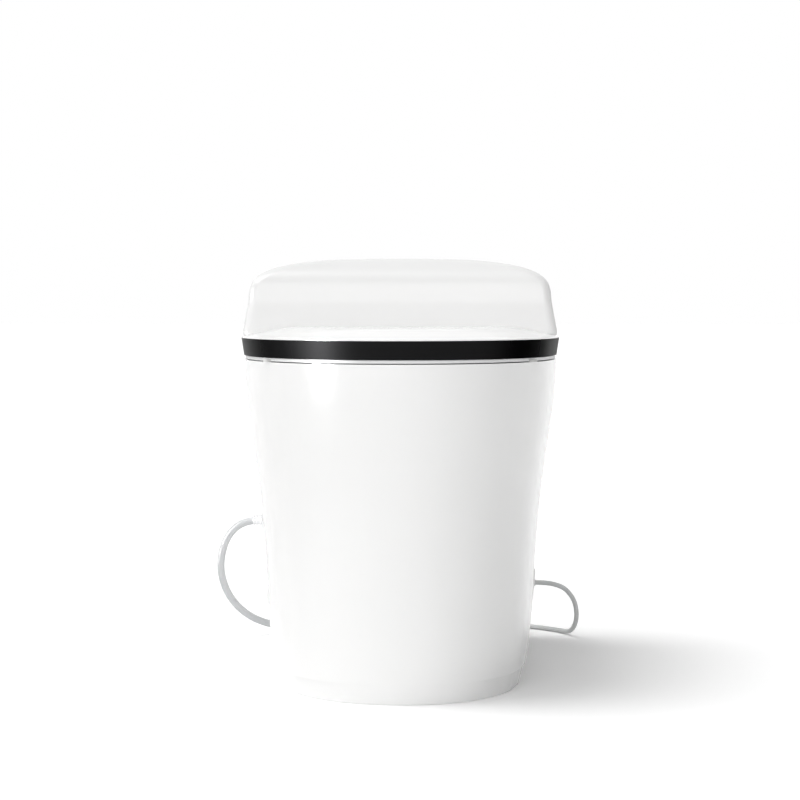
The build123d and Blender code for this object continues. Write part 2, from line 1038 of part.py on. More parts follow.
with BuildPart() as hood_band:
    loft(
        sections=[
            slab(
                lid_half_width - inset,
                hood_front,
                hood_back - inset,
                hood_corner / 3,
                hood_back_corner,
                height,
            )
            for inset, height in ((band_lean, band_low), (0, band_high))
        ],
        ruled=True,
    )
    add(hood_plan(band_inner, band_low - overrun, band_high + overrun), mode=Mode.SUBTRACT)
    add(
        block(
            -lid_half_width + inner_inset,
            lid_half_width - inner_inset,
            hood_front - overrun,
            hood_front + hood_skirt_inset,
            band_low - overrun,
            band_high + overrun,
        ),
        mode=Mode.SUBTRACT,
    )
save(hood_band.part, "hood_band")

with BuildPart() as button_bezel:
    with BuildSketch(button_plane.offset(-bezel_length)):
        Circle(button_radius + run_gap + bezel_width)
        Circle(button_radius + run_gap, mode=Mode.SUBTRACT)
    extrude(amount=bezel_length)
    fillet(button_bezel.edges().group_by(Axis.X)[-1], bezel_width / 4)
save(button_bezel.part, "button_bezel")

with BuildPart() as flush_button:
    with BuildSketch(button_plane.offset(-button_length)):
        Circle(button_radius)
    extrude(amount=button_length)
    with BuildSketch(button_plane.offset(-button_length)):
        Circle(stem_radius)
    extrude(amount=-switch_depth)
    fillet(flush_button.edges().group_by(Axis.X)[-1], button_proud / 2)
save(flush_button.part, "flush_button")

switch_plane = button_plane.offset(-bezel_length)
with BuildPart() as button_switch:
    with BuildSketch(switch_plane):
        Circle(button_radius + run_gap + bezel_width)
        Circle(stem_radius + run_gap, mode=Mode.SUBTRACT)
    extrude(amount=-switch_plate)
    with BuildSketch(switch_plane.offset(-switch_plate)):
        Rectangle(switch_size, switch_size)
        Circle(stem_radius + run_gap, mode=Mode.SUBTRACT)
    extrude(amount=-switch_depth)
save(button_switch.part, "button_switch")

# Chassis
wand_lean = radians(wand_slope)
wand_tip_height = hinge_height - hinge_shell - wand_under_barrel + (wand_tip_y - hinge_y) * tan(wand_lean)
wand_back = Vector(0, cos(wand_lean), sin(wand_lean))
wand_origin = Vector(0, wand_tip_y, wand_tip_height)


def wand_plane(distance):
    """The plane square to the wand at a distance behind its tip, facing back along it."""
    return Plane(origin=wand_origin + wand_back * distance, x_dir=(1, 0, 0), z_dir=wand_back)


with BuildPart() as chassis_base:
    add(
        block(
            -chassis_half_width,
            chassis_half_width,
            chassis_front,
            chassis_back,
            rim_height,
            chassis_top,
            chassis_corner,
        )
    )
    add(
        block(
            chassis_notch_left,
            chassis_notch_right,
            chassis_front - overrun,
            chassis_notch_back,
            rim_height - overrun,
            chassis_top + overrun,
        ),
        mode=Mode.SUBTRACT,
    )
    for x in (board_left + 2 * post_radius, board_right - 2 * post_radius):
        for y in (board_front + 2 * post_radius, board_back - 2 * post_radius):
            add(post(x, y, chassis_top, board_height, post_radius))
    with Locations(*[(x, y, chassis_top) for x, y in bolt_places]):
        Hole(bolt_hole, depth=2 * chassis_sheet)
    with Locations((fill_x, inlet_y, chassis_top)):
        Hole(fill_radius + touch_gap, depth=2 * chassis_sheet)
    with Locations((-inlet_x, inlet_y, chassis_top)):
        Hole(inlet_tube + touch_gap, depth=2 * chassis_sheet)
    with Locations((lead_x, gland_y, chassis_top)):
        Hole(cord_radius + touch_gap, depth=2 * chassis_sheet)
save(chassis_base.part, "chassis_base")

with BuildPart() as chassis_cover:
    add(block(-cover_half_width, cover_half_width, chassis_front, cover_back, chassis_top, cover_top))
    fillet(
        chassis_cover.edges().filter_by(Axis.X).group_by(Axis.Y)[0].sort_by(Axis.Z)[-1:], cover_round
    )
    add(
        block(
            -cover_half_width + cover_sheet,
            cover_half_width - cover_sheet,
            chassis_front + cover_sheet,
            cover_back + overrun,
            chassis_top - overrun,
            cover_top - cover_sheet,
        ),
        mode=Mode.SUBTRACT,
    )
    add(
        block(
            -wand_radius - 2 * housing_wall,
            wand_radius + 2 * housing_wall,
            cover_back - cover_back / 2,
            cover_back + overrun,
            chassis_top,
            cover_top + overrun,
        ),
        mode=Mode.SUBTRACT,
    )
    add(
        block(
            light_x,
            light_x + light_width,
            chassis_front - overrun,
            chassis_front + light_depth,
            chassis_top + light_height,
            chassis_top + 2 * light_height,
        ),
        mode=Mode.SUBTRACT,
    )
save(chassis_cover.part, "chassis_cover")
save(
    block(
        light_x,
        light_x + light_width,
        chassis_front,
        chassis_front + light_depth,
        chassis_top + light_height,
        chassis_top + 2 * light_height,
    ),
    "night_light",
)

with BuildPart() as hinge_brackets:
    for left in (-fixed_to, fixed_from):
        right = left + fixed_to - fixed_from
        add(rod(left, right, hinge_y, hinge_height, knuckle))
        back = hinge_y - hinge_stand_set_back
        add(block(left, right, back - hinge_stand, back, chassis_top, hinge_height))
        add(block(left, right, back - hinge_foot / 2, back, chassis_top, chassis_top + hinge_foot_height))
        add(rod(left, right, hinge_y, hinge_height, pin_radius), mode=Mode.SUBTRACT)
        outer = right - damper_length if left > 0 else left
        add(rod(outer, outer + damper_length, hinge_y, hinge_height, damper_radius), mode=Mode.SUBTRACT)
save(hinge_brackets.part, "hinge_brackets")

with BuildPart() as hinge_dampers:
    for left in (-fixed_to, fixed_to - damper_length):
        add(rod(left, left + damper_length, hinge_y, hinge_height, damper_radius, pin_radius))
save(hinge_dampers.part, "hinge_dampers")

with BuildPart() as hinge_pins:
    for left in (-pin_to, pin_from):
        add(rod(left, left + pin_to - pin_from, hinge_y, hinge_height, pin_radius))
save(hinge_pins.part, "hinge_pins")

# Bolts that clamp the chassis and hang the reservoir
with BuildPart() as mounting_bolts:
    for x, y in bolt_places:
        with BuildSketch(Plane.XY.offset(chassis_top)):
            with Locations((x, y)):
                RegularPolygon(bolt_head, 6)
        extrude(amount=bolt_head_height)
        add(post(x, y, deck_under - tab_thickness - 2 * bolt_head_height, chassis_top, bolt_radius))
save(mounting_bolts.part, "mounting_bolts")

with BuildPart() as mounting_nuts:
    for x, y in bolt_places:
        with BuildSketch(Plane.XY.offset(deck_under - tab_thickness - bolt_head_height)):
            with Locations((x, y)):
                RegularPolygon(bolt_head, 6)
                Circle(bolt_radius, mode=Mode.SUBTRACT)
        extrude(amount=bolt_head_height)
save(mounting_nuts.part, "mounting_nuts")

# Wash wand, its housing and its motor
with BuildPart() as nozzle_housing:
    with BuildSketch(wand_plane(housing_from)):
        Circle(wand_radius + housing_wall)
    extrude(amount=housing_to - housing_from)
    with BuildSketch(Plane.XY.offset(chassis_top)):
        with Locations((0, (housing_foot_from + housing_foot_to) / 2 + chassis_sheet)):
            Rectangle(wand_radius, housing_foot_to - housing_foot_from)
    extrude(until=Until.NEXT)
    with BuildSketch(wand_plane(housing_from)):
        Circle(wand_radius + wand_bore_gap)
    extrude(amount=housing_to - housing_from - housing_wall, mode=Mode.SUBTRACT)
    print("housing solids", len(nozzle_housing.solids()))
save(nozzle_housing.part, "nozzle_housing")

with BuildPart() as wand_tube:
    with BuildSketch(wand_plane(wand_tip_length)):
        Circle(wand_radius)
    extrude(amount=wand_length - wand_tip_length)
save(wand_tube.part, "wand_tube")

with BuildPart() as wand_tip:
    with BuildSketch(wand_plane(0)):
        Circle(wand_radius)
    extrude(amount=wand_tip_length)
    fillet(wand_tip.edges().group_by(Axis.Z)[0], wand_radius / 2)
    for k in (-1, 0, 1):
        spot = wand_origin + wand_back * wand_tip_length / 2 + Vector(k * spray_spacing, 0, 0)
        with BuildSketch(Plane(origin=spot, x_dir=(1, 0, 0), z_dir=(0, -sin(wand_lean), cos(wand_lean)))):
            Circle(spray_hole)
        extrude(amount=wand_radius + overrun, mode=Mode.SUBTRACT)
save(wand_tip.part, "wand_tip")

motor_seat = wand_plane(wand_motor_at).origin
motor_left = wand_radius + housing_wall + touch_gap
motor_right = motor_left + wand_motor_length
save(rod(motor_left, motor_right, motor_seat.Y, motor_seat.Z, wand_motor_radius), "wand_motor")

# Water heater and its tube to the wand
with BuildPart() as heater_tank:
    add(
        block(
            heater_left,
            heater_right,
            heater_front,
            heater_back,
            chassis_top,
            chassis_top + heater_height,
            heater_round,
        )
    )
    fillet(heater_tank.faces().sort_by(Axis.Z)[-1].edges(), heater_round / 2)
    port_y = wand_plane(housing_to - 3 * wand_radius).origin.Y
    port_height = chassis_top + heater_height - 2 * heater_port
    add(rod(heater_right - overrun, heater_right + heater_port_length, port_y, port_height, heater_port))
save(heater_tank.part, "heater_tank")

port_top = wand_plane(housing_to - 3 * wand_radius).origin.Z
port_end = -wand_radius - housing_wall - touch_gap
wash_route = [
    (heater_right + heater_port_length, port_y, port_height),
    ((heater_right + port_end) / 2, port_y, port_height),
    ((heater_right + port_end) / 2, port_y, port_top),
    (port_end, port_y, port_top),
]
save(tube(wash_route, [2 * heater_port] * 2, wash_tube_radius, wash_tube_bore), "wash_tube")

# Inlet, filter, valve and fill tube
inlet_face = -flank_at_inlet
wall_slope = (rim_half_width - foot_half_width) / (rim_height - step_height)
inlet_seat = inlet_face - inlet_flange * wall_slope - touch_gap
inlet_outer = inlet_face - inlet_reach
with BuildPart() as inlet_fitting:
    add(rod(inlet_outer, -inlet_x - inlet_end, inlet_y, inlet_height, inlet_thread, inlet_tube_bore))
    with BuildSketch(Plane.YZ.offset(inlet_seat - inlet_flange_length)):
        with Locations((inlet_y, inlet_height)):
            Circle(inlet_flange)
            Circle(inlet_thread - run_gap, mode=Mode.SUBTRACT)
    extrude(amount=inlet_flange_length)
save(inlet_fitting.part, "inlet_fitting")

inlet_route = [
    (-inlet_x - inlet_end, inlet_y, inlet_height),
    (-inlet_x, inlet_y, inlet_height),
    (-inlet_x, inlet_y, chassis_top),
]
save(tube(inlet_route, [inlet_tube_bend], inlet_tube, inlet_tube_bore), "inlet_tube")

with BuildPart() as inlet_filter:
    add(post(-inlet_x, inlet_y, chassis_top, chassis_top + filter_height, filter_radius))
    add(
        post(
            -inlet_x,
            inlet_y,
            chassis_top + filter_height,
            chassis_top + filter_height + filter_cap_height,
            filter_cap_radius,
        )
    )
save(inlet_filter.part, "inlet_filter")

with BuildPart() as water_valve:
    add(
        block(
            valve_left,
            valve_right,
            inlet_y - valve_depth / 2,
            inlet_y + valve_depth / 2,
            chassis_top,
            chassis_top + valve_height,
        )
    )
    fillet(water_valve.edges().filter_by(Axis.Z), valve_depth / 12)
    add(
        post(
            (valve_left + valve_right) / 2,
            inlet_y,
            chassis_top + valve_height,
            chassis_top + valve_height + solenoid_height,
            solenoid_radius,
        )
    )
save(water_valve.part, "water_valve")
save(post(fill_x, inlet_y, deck_under, chassis_top, fill_radius, fill_bore), "fill_tube")

# Reservoir tank and flush pump
with BuildPart() as reservoir_tank:
    add(block(-tank_half_width, tank_half_width, tank_front, tank_back, tank_floor, deck_under, tank_round))
    fillet(reservoir_tank.faces().sort_by(Axis.Z)[0].edges(), tank_round / 2)
    add(
        block(
            -tank_half_width + tank_sheet,
            tank_half_width - tank_sheet,
            tank_front + tank_sheet,
            tank_back - tank_sheet,
            tank_floor + tank_sheet,
            deck_under - tank_sheet,
            tank_round - tank_sheet,
        ),
        mode=Mode.SUBTRACT,
    )
    for x, y in bolt_places:
        tab_inner = tank_half_width - tank_sheet if x > 0 else -tank_half_width + tank_sheet
        tab_outer = x + tab_width / 3 if x > 0 else x - tab_width / 3
        add(
            block(
                min(tab_inner, tab_outer),
                max(tab_inner, tab_outer),
                y - tab_depth / 2 + tab_depth / 3 * (y < inlet_y),
                y + tab_depth / 2 - tab_depth / 5 * (y > inlet_y),
                deck_under - tab_thickness,
                deck_under,
            )
        )
    with Locations(*[(x, y, deck_under) for x, y in bolt_places]):
        Hole(bolt_hole, depth=2 * tab_thickness)
    with Locations((fill_x, inlet_y, deck_under)):
        Hole(fill_bore, depth=2 * tank_sheet)
    with Locations((pump_x, pump_y, tank_floor + tank_sheet)):
        Hole(pump_neck - pump_sheet, depth=2 * tank_sheet)
    print("tank solids", len(reservoir_tank.solids()))
save(reservoir_tank.part, "reservoir_tank")

pump_top = tank_floor - pump_neck_length
pump_low = pump_top - pump_height
with BuildPart() as pump_housing:
    add(post(pump_x, pump_y, pump_low, pump_top, pump_radius))
    fillet(pump_housing.edges().group_by(Axis.Z)[-1], pump_sheet)
    add(post(pump_x, pump_y, pump_top - pump_sheet, tank_floor, pump_neck))
    jet_exit = pump_x - pump_radius + jet_radius
    with Locations((jet_exit, pump_y - (pump_radius + pump_neck) / 2, pump_low + pump_height / 2)):
        Cylinder(jet_radius, pump_radius + pump_neck, rotation=(90, 0, 0))
    add(
        post(pump_x, pump_y, pump_low + pump_sheet, pump_top - pump_sheet, pump_radius - pump_sheet),
        mode=Mode.SUBTRACT,
    )
    add(
        post(pump_x, pump_y, pump_top - 2 * pump_sheet, tank_floor + overrun, pump_neck - pump_sheet),
        mode=Mode.SUBTRACT,
    )
    add(
        post(pump_x, pump_y, pump_low - overrun, pump_low + pump_height / 2, shaft_radius + run_gap),
        mode=Mode.SUBTRACT,
    )
    with Locations((jet_exit, pump_y - (pump_radius + pump_neck) / 2, pump_low + pump_height / 2)):
        Cylinder(jet_bore, pump_radius + pump_neck + overrun, rotation=(90, 0, 0), mode=Mode.SUBTRACT)
    print("pump solids", len(pump_housing.solids()))
save(pump_housing.part, "pump_housing")

with BuildPart() as pump_motor:
    add(post(pump_x, pump_y, pump_low - motor_height, pump_low, motor_radius))
    fillet(pump_motor.edges().group_by(Axis.Z)[0], pump_sheet)
    add(
        post(pump_x, pump_y, pump_low - motor_height / 2, pump_low + overrun, shaft_radius + run_gap),
        mode=Mode.SUBTRACT,
    )
save(pump_motor.part, "pump_motor")


def fan_wheel(x, y, seat, low, high, radius, hub, blades, sheet):
    """A wheel of straight vanes between a hub and a base disc, on a shaft that reaches down to its seat."""
    with BuildPart() as wheel:
        add(post(x, y, seat, low, shaft_radius))
        add(post(x, y, low, low + sheet, radius))
        add(post(x, y, low, high, hub))
        with BuildSketch(Plane.XY.offset(low)):
            with Locations((x, y)):
                with PolarLocations((radius + hub) / 2, blades):
                    Rectangle(radius - hub + sheet, sheet)
        extrude(amount=high - low)
        with BuildSketch(Plane.XY.offset(low)):
            with Locations((x, y)):
                Circle(radius + overrun + sheet)
                Circle(radius, mode=Mode.SUBTRACT)
        extrude(amount=high - low, mode=Mode.SUBTRACT)
    return wheel.part


save(
    fan_wheel(
        pump_x,
        pump_y,
        pump_low - motor_height / 3,
        pump_low + pump_sheet + impeller_gap,
        pump_top - pump_sheet - impeller_gap,
        pump_radius - pump_sheet - 2 * impeller_gap,
        2 * shaft_radius,
        6,
        impeller_gap,
    ),
    "pump_impeller",
)

jet_level = pump_low + pump_height / 2
jet_start = pump_y - pump_radius - pump_neck
jet_route = [
    (jet_exit, jet_start, jet_level),
    (jet_exit, jet_start - 5 * jet_radius, jet_level),
    (-jet_x - 2 * jet_boss, rise_y + jet_boss, jet_height),
    (-jet_x - 2 * jet_boss, jet_y, jet_height),
    (-jet_x - jet_boss, jet_y, jet_height),
]
save(tube(jet_route, [3 * jet_radius, 3 * jet_radius, jet_radius * 1.4], jet_radius, jet_bore), "jet_tube")

# Dryer
blower_low = chassis_top
with BuildPart() as blower_housing:
    add(post(blower_x, blower_y, blower_low, blower_low + blower_height, blower_radius))
    add(
        block(
            duct_left - blower_sheet,
            duct_right,
            blower_y - blower_radius - blower_sheet,
            blower_y,
            blower_low,
            duct_high + blower_sheet,
        )
    )
    add(
        post(
            blower_x,
            blower_y,
            blower_low + blower_sheet,
            blower_low + blower_height - blower_sheet,
            blower_radius - blower_sheet,
        ),
        mode=Mode.SUBTRACT,
    )
    add(
        block(
            duct_left,
            duct_right - blower_sheet,
            blower_y - blower_radius - 2 * blower_sheet,
            blower_y,
            blower_low + blower_sheet,
            duct_high,
        ),
        mode=Mode.SUBTRACT,
    )
    with Locations((blower_x, blower_y, blower_low + blower_height)):
        Hole(blower_radius / 2, depth=2 * blower_sheet)
    with Locations((blower_x, blower_y, blower_low + blower_sheet)):
        Hole(shaft_radius + run_gap, depth=2 * blower_sheet)
    print("blower solids", len(blower_housing.solids()))
save(blower_housing.part, "blower_housing")

save(
    fan_wheel(
        blower_x,
        blower_y,
        blower_low + touch_gap,
        blower_low + 2 * blower_sheet,
        blower_low + blower_height - 2 * blower_sheet,
        blower_radius - 4 * blower_sheet,
        blower_radius / 3,
        16,
        blower_sheet / 2,
    ),
    "blower_wheel",
)

duct_back = blower_y - blower_radius - blower_sheet
spout_back = duct_front + spout_depth
flap_hinge = spout_low + duct_sheet + flap_height
with BuildPart() as dryer_duct:
    add(block(duct_left, duct_right, duct_front, duct_back, duct_low, duct_high))
    add(block(duct_left, duct_right, duct_front, spout_back, spout_low, duct_high))
    add(
        block(
            duct_left + duct_sheet,
            duct_right - duct_sheet,
            duct_front + duct_sheet,
            duct_back + overrun,
            duct_low + duct_sheet,
            duct_high - duct_sheet,
        ),
        mode=Mode.SUBTRACT,
    )
    add(
        block(
            duct_left + duct_sheet,
            duct_right - duct_sheet,
            duct_front + duct_sheet,
            spout_back - duct_sheet,
            spout_low + duct_sheet,
            duct_high - duct_sheet,
        ),
        mode=Mode.SUBTRACT,
    )
    add(
        block(
            duct_left + duct_sheet,
            duct_right - duct_sheet,
            duct_front - overrun,
            duct_front + 2 * duct_sheet,
            spout_low + duct_sheet,
            flap_hinge + flap_pin + duct_sheet / 2,
        ),
        mode=Mode.SUBTRACT,
    )
    add(
        rod(
            duct_left + duct_sheet / 2,
            duct_right - duct_sheet / 2,
            duct_front + flap_pin,
            flap_hinge,
            flap_pin / 2 + run_gap,
        ),
        mode=Mode.SUBTRACT,
    )
    print("duct solids", len(dryer_duct.solids()))
save(dryer_duct.part, "dryer_duct")

with BuildPart() as dryer_flap:
    add(
        block(
            duct_left + duct_sheet + touch_gap,
            duct_right - duct_sheet - touch_gap,
            duct_front + flap_pin - flap_thickness / 2,
            duct_front + flap_pin + flap_thickness / 2,
            spout_low + duct_sheet + touch_gap,
            flap_hinge,
        )
    )
    add(
        rod(
            duct_left + duct_sheet + touch_gap,
            duct_right - duct_sheet - touch_gap,
            duct_front + flap_pin,
            flap_hinge,
            flap_thickness / 2,
        )
    )
    add(
        rod(
            duct_left + duct_sheet / 2 + run_gap,
            duct_right - duct_sheet / 2 - run_gap,
            duct_front + flap_pin,
            flap_hinge,
            flap_pin / 2,
        )
    )
save(dryer_flap.part, "dryer_flap")

# Deodoriser
scent_low = chassis_top
with BuildPart() as deodoriser_housing:
    add(post(scent_x, scent_y, scent_low, scent_low + scent_height, scent_radius))
    add(
        post(
            scent_x,
            scent_y,
            scent_low + blower_sheet,
            scent_low + scent_height - blower_sheet,
            scent_radius - blower_sheet,
        ),
        mode=Mode.SUBTRACT,
    )
    with Locations((scent_x, scent_y, scent_low + scent_height)):
        Hole(scent_radius / 2, depth=2 * blower_sheet)
    with Locations((scent_x, scent_y, scent_low + blower_sheet)):
        Hole(shaft_radius + run_gap, depth=2 * blower_sheet)
save(deodoriser_housing.part, "deodoriser_housing")

save(
    fan_wheel(
        scent_x,
        scent_y,
        scent_low + touch_gap,
        scent_low + 2 * blower_sheet,
        scent_low + scent_height - 2 * blower_sheet,
        scent_radius - 3 * blower_sheet,
        scent_radius / 3,
        12,
        blower_sheet / 2,
    ),
    "deodoriser_wheel",
)

# Electronics
with BuildPart() as control_board:
    add(block(board_left, board_right, board_front, board_back, board_height, board_height + board_sheet))
    board_top = board_height + board_sheet
    for k in range(4):
        left = blend(board_left, board_right, chip_first_share + chip_pitch_share * k)
        add(
            block(
                left,
                left + 3 * post_radius,
                board_front + 3 * post_radius,
                board_front + 6 * post_radius,
                board_top,
                board_top + (1 + k % 2) * post_radius,
            )
        )
save(control_board.part, "control_board")

with BuildPart() as power_supply:
    supply_top = chassis_top + supply_height
    add(block(supply_left, supply_right, supply_front, supply_back, chassis_top, supply_top, post_radius))
    fillet(power_supply.faces().sort_by(Axis.Z)[-1].edges(), post_radius / 2)
    with Locations((lead_x, gland_y, chassis_top)):
        Cylinder(
            cord_radius + touch_gap,
            4 * cord_radius,
            align=(Align.CENTER, Align.CENTER, Align.MIN),
            mode=Mode.SUBTRACT,
        )
save(power_supply.part, "power_supply")

# Cord gland and the lead inside
gland_face = flank_at_gland + gland_flange * wall_slope + touch_gap
cord_start = cord_route[0][0]
with BuildPart() as cord_gland:
    add(rod(lead_route[0][0], gland_face, gland_y, gland_height, gland_hole - touch_gap))
    add(rod(gland_face, gland_face + gland_flange_length, gland_y, gland_height, gland_flange))
    with BuildSketch(Plane.YZ.offset(gland_face + gland_flange_length)):
        with Locations((gland_y, gland_height)):
            Circle(gland_hole)
    with BuildSketch(Plane.YZ.offset(cord_start)):
        with Locations((gland_y, gland_height)):
            Circle(gland_tip)
    loft()
    print("gland solids", len(cord_gland.solids()))
save(cord_gland.part, "cord_gland")

save(free_tube("mains_lead", lead_route, cord_radius), "mains_lead")

# Mains cord, its coil, its tail and its plug
save(free_tube("power_cord", cord_route, cord_radius), "power_cord")
save(free_tube("power_cord_tail", tail_route, cord_radius), "power_cord_tail")


def coil_knot(turn):
    """Place and heading of the coil's centre line after so many turns, in along one layer and out again."""
    inner = coil_outer - coil_pitch * coil_turns
    climb_end = coil_turns + 0.5
    low = cord_route[-1][2]
    if turn <= coil_turns:
        reach, height, slope = coil_outer - coil_pitch * turn, low, 0
        spread = -coil_pitch / (2 * pi)
    elif turn < climb_end:
        reach, height = inner, low + coil_lift / 2
        slope, spread = 3 * coil_lift / (2 * pi), 0
    else:
        reach, height, slope = inner + coil_pitch * (turn - climb_end), low + coil_lift, 0
        spread = coil_pitch / (2 * pi)
    if turn in (0, coil_turns, climb_end, 2 * coil_turns + 0.5):
        spread = 0
    angle = pi / 2 + 2 * pi * turn
    place = Vector(coil_x + reach * cos(angle), coil_y + reach * sin(angle), height)
    heading = Vector(
        spread * cos(angle) - reach * sin(angle), spread * sin(angle) + reach * cos(angle), slope
    )
    return place, heading.normalized()


def biarc(start, leaving, end, arriving):
    """Two arcs that join two places along two headings."""
    span = end - start
    both = leaving + arriving
    a = 2 * (1 - leaving.dot(arriving))
    b = 2 * span.dot(both)
    reach = (sqrt(b * b + 4 * a * span.dot(span)) - b) / (2 * a)
    first = start + leaving * reach
    second = end - arriving * reach
    middle = (first + second) * 0.5
    return [TangentArc(start, middle, tangent=leaving), TangentArc(middle, end, tangent=second - first)]


coil_quarters = round(4 * (2 * coil_turns + 0.5))
coil_knots = [coil_knot(k / 4) for k in range(coil_quarters + 1)]
coil_arcs = []
for (start, leaving), (end, arriving) in zip(coil_knots, coil_knots[1:]):
    coil_arcs.extend(biarc(start, leaving, end, arriving))
lead_in = Edge.make_line(coil_knots[0][0] - coil_knots[0][1] * 2 * cord_radius, coil_knots[0][0])
lead_out = Edge.make_line(coil_knots[-1][0], coil_knots[-1][0] + coil_knots[-1][1] * 2 * cord_radius)
coil_wire = Wire([lead_in] + [edge for arc in coil_arcs for edge in arc.edges()] + [lead_out])
with BuildPart() as power_cord_coil:
    with BuildSketch(Plane(origin=coil_wire @ 0, z_dir=coil_wire % 0)):
        Circle(cord_radius)
    sweep(path=coil_wire)
save(power_cord_coil.part, "power_cord_coil")
coil_points = [coil_wire @ (k / 400) for k in range(401)]
coil_step = coil_wire.length / 400
apart = round(4 * cord_radius / coil_step) + 1
coil_gap = min(
    (coil_points[i] - coil_points[j]).length for i in range(401) for j in range(i + apart, 401)
)
print("coil length", round(coil_wire.length, 1), "least gap to itself", round(coil_gap - 2 * cord_radius, 2))
print("coil volume share", power_cord_coil.part.volume / (pi * cord_radius**2 * coil_wire.length))

plug_x, plug_y, plug_height = tail_route[-1]
plug_start = plug_x + neck_length
with BuildPart() as power_plug:
    with BuildSketch(Plane.YZ.offset(plug_x)):
        with Locations((plug_y, plug_height)):
            Circle(neck_radius - touch_gap)
    with BuildSketch(Plane.YZ.offset(plug_start)):
        with Locations((plug_y, plug_height)):
            Circle(neck_radius + touch_gap)
    loft()
    with BuildSketch(Plane.YZ.offset(plug_start)):
        with Locations((plug_y, plug_height)):
            RectangleRounded(plug_width, plug_thickness, plug_round)
    extrude(amount=plug_length)
    fillet(power_plug.faces().sort_by(Axis.X)[-1].edges(), plug_round / 4)
save(power_plug.part, "power_plug")

blade_height = plug_height + plug_thickness / 8
with BuildPart() as plug_blades:
    with BuildSketch(Plane.YZ.offset(plug_start + plug_length)):
        with Locations((plug_y, blade_height)):
            with GridLocations(blade_spacing, 0, 2, 1):
                Rectangle(blade_thickness, blade_width)
    extrude(amount=blade_length)
    with BuildSketch(Plane.YZ.offset(plug_start + plug_length)):
        with Locations((plug_y, blade_height - earth_drop - earth_radius / 2)):
            Circle(earth_radius)
    extrude(amount=earth_length)
save(plug_blades.part, "plug_blades")

# Supply hose and its two coupling nuts
save(free_tube("supply_hose", hose_route, hose_radius), "supply_hose")
hose_start = hose_route[0][0]
nut_left = hose_start
hose_end = Vector(*hose_route[-1])
hose_heading = (hose_end - Vector(*hose_route[-2])).normalized()
with BuildPart() as hose_nuts:
    with BuildSketch(Plane.YZ.offset(nut_left)):
        with Locations((inlet_y, inlet_height)):
            RegularPolygon(hose_nut, 6)
    extrude(amount=inlet_seat - inlet_flange_length - nut_left)
    add(rod(inlet_outer, inlet_face, inlet_y, inlet_height, inlet_thread + run_gap), mode=Mode.SUBTRACT)
    end_plane = Plane(origin=hose_end, z_dir=hose_heading)
    with BuildSketch(end_plane):
        RegularPolygon(hose_nut, 6, rotation=30)
    extrude(amount=hose_nut_length)
    with BuildSketch(end_plane.offset(hose_nut_length)):
        Circle(inlet_thread)
    extrude(amount=-hose_nut_length / 2, mode=Mode.SUBTRACT)
save(hose_nuts.part, "hose_nuts")
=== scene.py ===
"""Dresses the toilet: cords, small fittings, finishes, lights, floor and camera.

Metres, +Z up, the front towards -Y, the origin at the centre of the floor outlet.
"""
import json
from math import cos, pi, radians, sin

import bmesh
import bpy
from mathutils import Matrix, Vector


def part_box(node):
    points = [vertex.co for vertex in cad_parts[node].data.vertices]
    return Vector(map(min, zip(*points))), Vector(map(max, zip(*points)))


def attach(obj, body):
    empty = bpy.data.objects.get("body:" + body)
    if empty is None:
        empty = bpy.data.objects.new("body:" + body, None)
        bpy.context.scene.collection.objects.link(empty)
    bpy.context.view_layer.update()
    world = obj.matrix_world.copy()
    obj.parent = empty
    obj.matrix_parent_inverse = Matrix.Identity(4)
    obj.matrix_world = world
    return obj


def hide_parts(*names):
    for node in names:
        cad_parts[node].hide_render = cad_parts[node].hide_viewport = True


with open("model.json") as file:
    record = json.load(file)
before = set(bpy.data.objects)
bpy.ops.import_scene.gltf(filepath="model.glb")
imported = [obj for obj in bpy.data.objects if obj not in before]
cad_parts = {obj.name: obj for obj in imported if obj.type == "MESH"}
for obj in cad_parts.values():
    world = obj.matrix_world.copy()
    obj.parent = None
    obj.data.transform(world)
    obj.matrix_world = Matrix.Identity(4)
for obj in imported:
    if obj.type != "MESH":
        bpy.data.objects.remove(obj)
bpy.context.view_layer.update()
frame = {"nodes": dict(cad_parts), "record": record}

# Camera
CAMERA_PLACE = (0, -3.4, 0.469)
CAMERA_PITCH = 2.09
CAMERA_LENS = 117.1
CAMERA_SENSOR = 36

# Meshes: the angle, in degrees, over which an edge stays sharp, and how turned forms are spun
SMOOTH_ANGLE = 32
TURN_STEPS = 40
MERGE_DISTANCE = 1e-6

# Splines: how finely a cord is rounded, and its steps between two points
CORD_ROUNDING = 6
CORD_STEPS = 8

# Mains cord: its route, its put-away coil and its tail to the plug
CORD_DIAMETER = 0.0066
CORD_ROUTE = [
    (0.190, 0.240, 0.080),
    (0.222, 0.240, 0.080),
    (0.245, 0.243, 0.058),
    (0.250, 0.252, 0.028),
    (0.243, 0.275, 0.006),
    (0.232, 0.309, 0.0034),
    (0.205, 0.346, 0.0034),
    (0.165, 0.377, 0.0034),
    (0.118, 0.392, 0.0034),
]
TAIL_ROUTE = [
    (0.092, 0.304, 0.0109),
    (0.103, 0.3048, 0.0107),
    (0.114, 0.3048, 0.0107),
]
COIL_X = 0.075
COIL_Y = 0.348
COIL_OUTER = 0.044
COIL_PITCH = 0.0082
COIL_LIFT = 0.0075
COIL_LOW = 0.0034
COIL_TURNS = 1.5
COIL_STEPS = 16
COIL_CLIMB_TURNS = 0.5

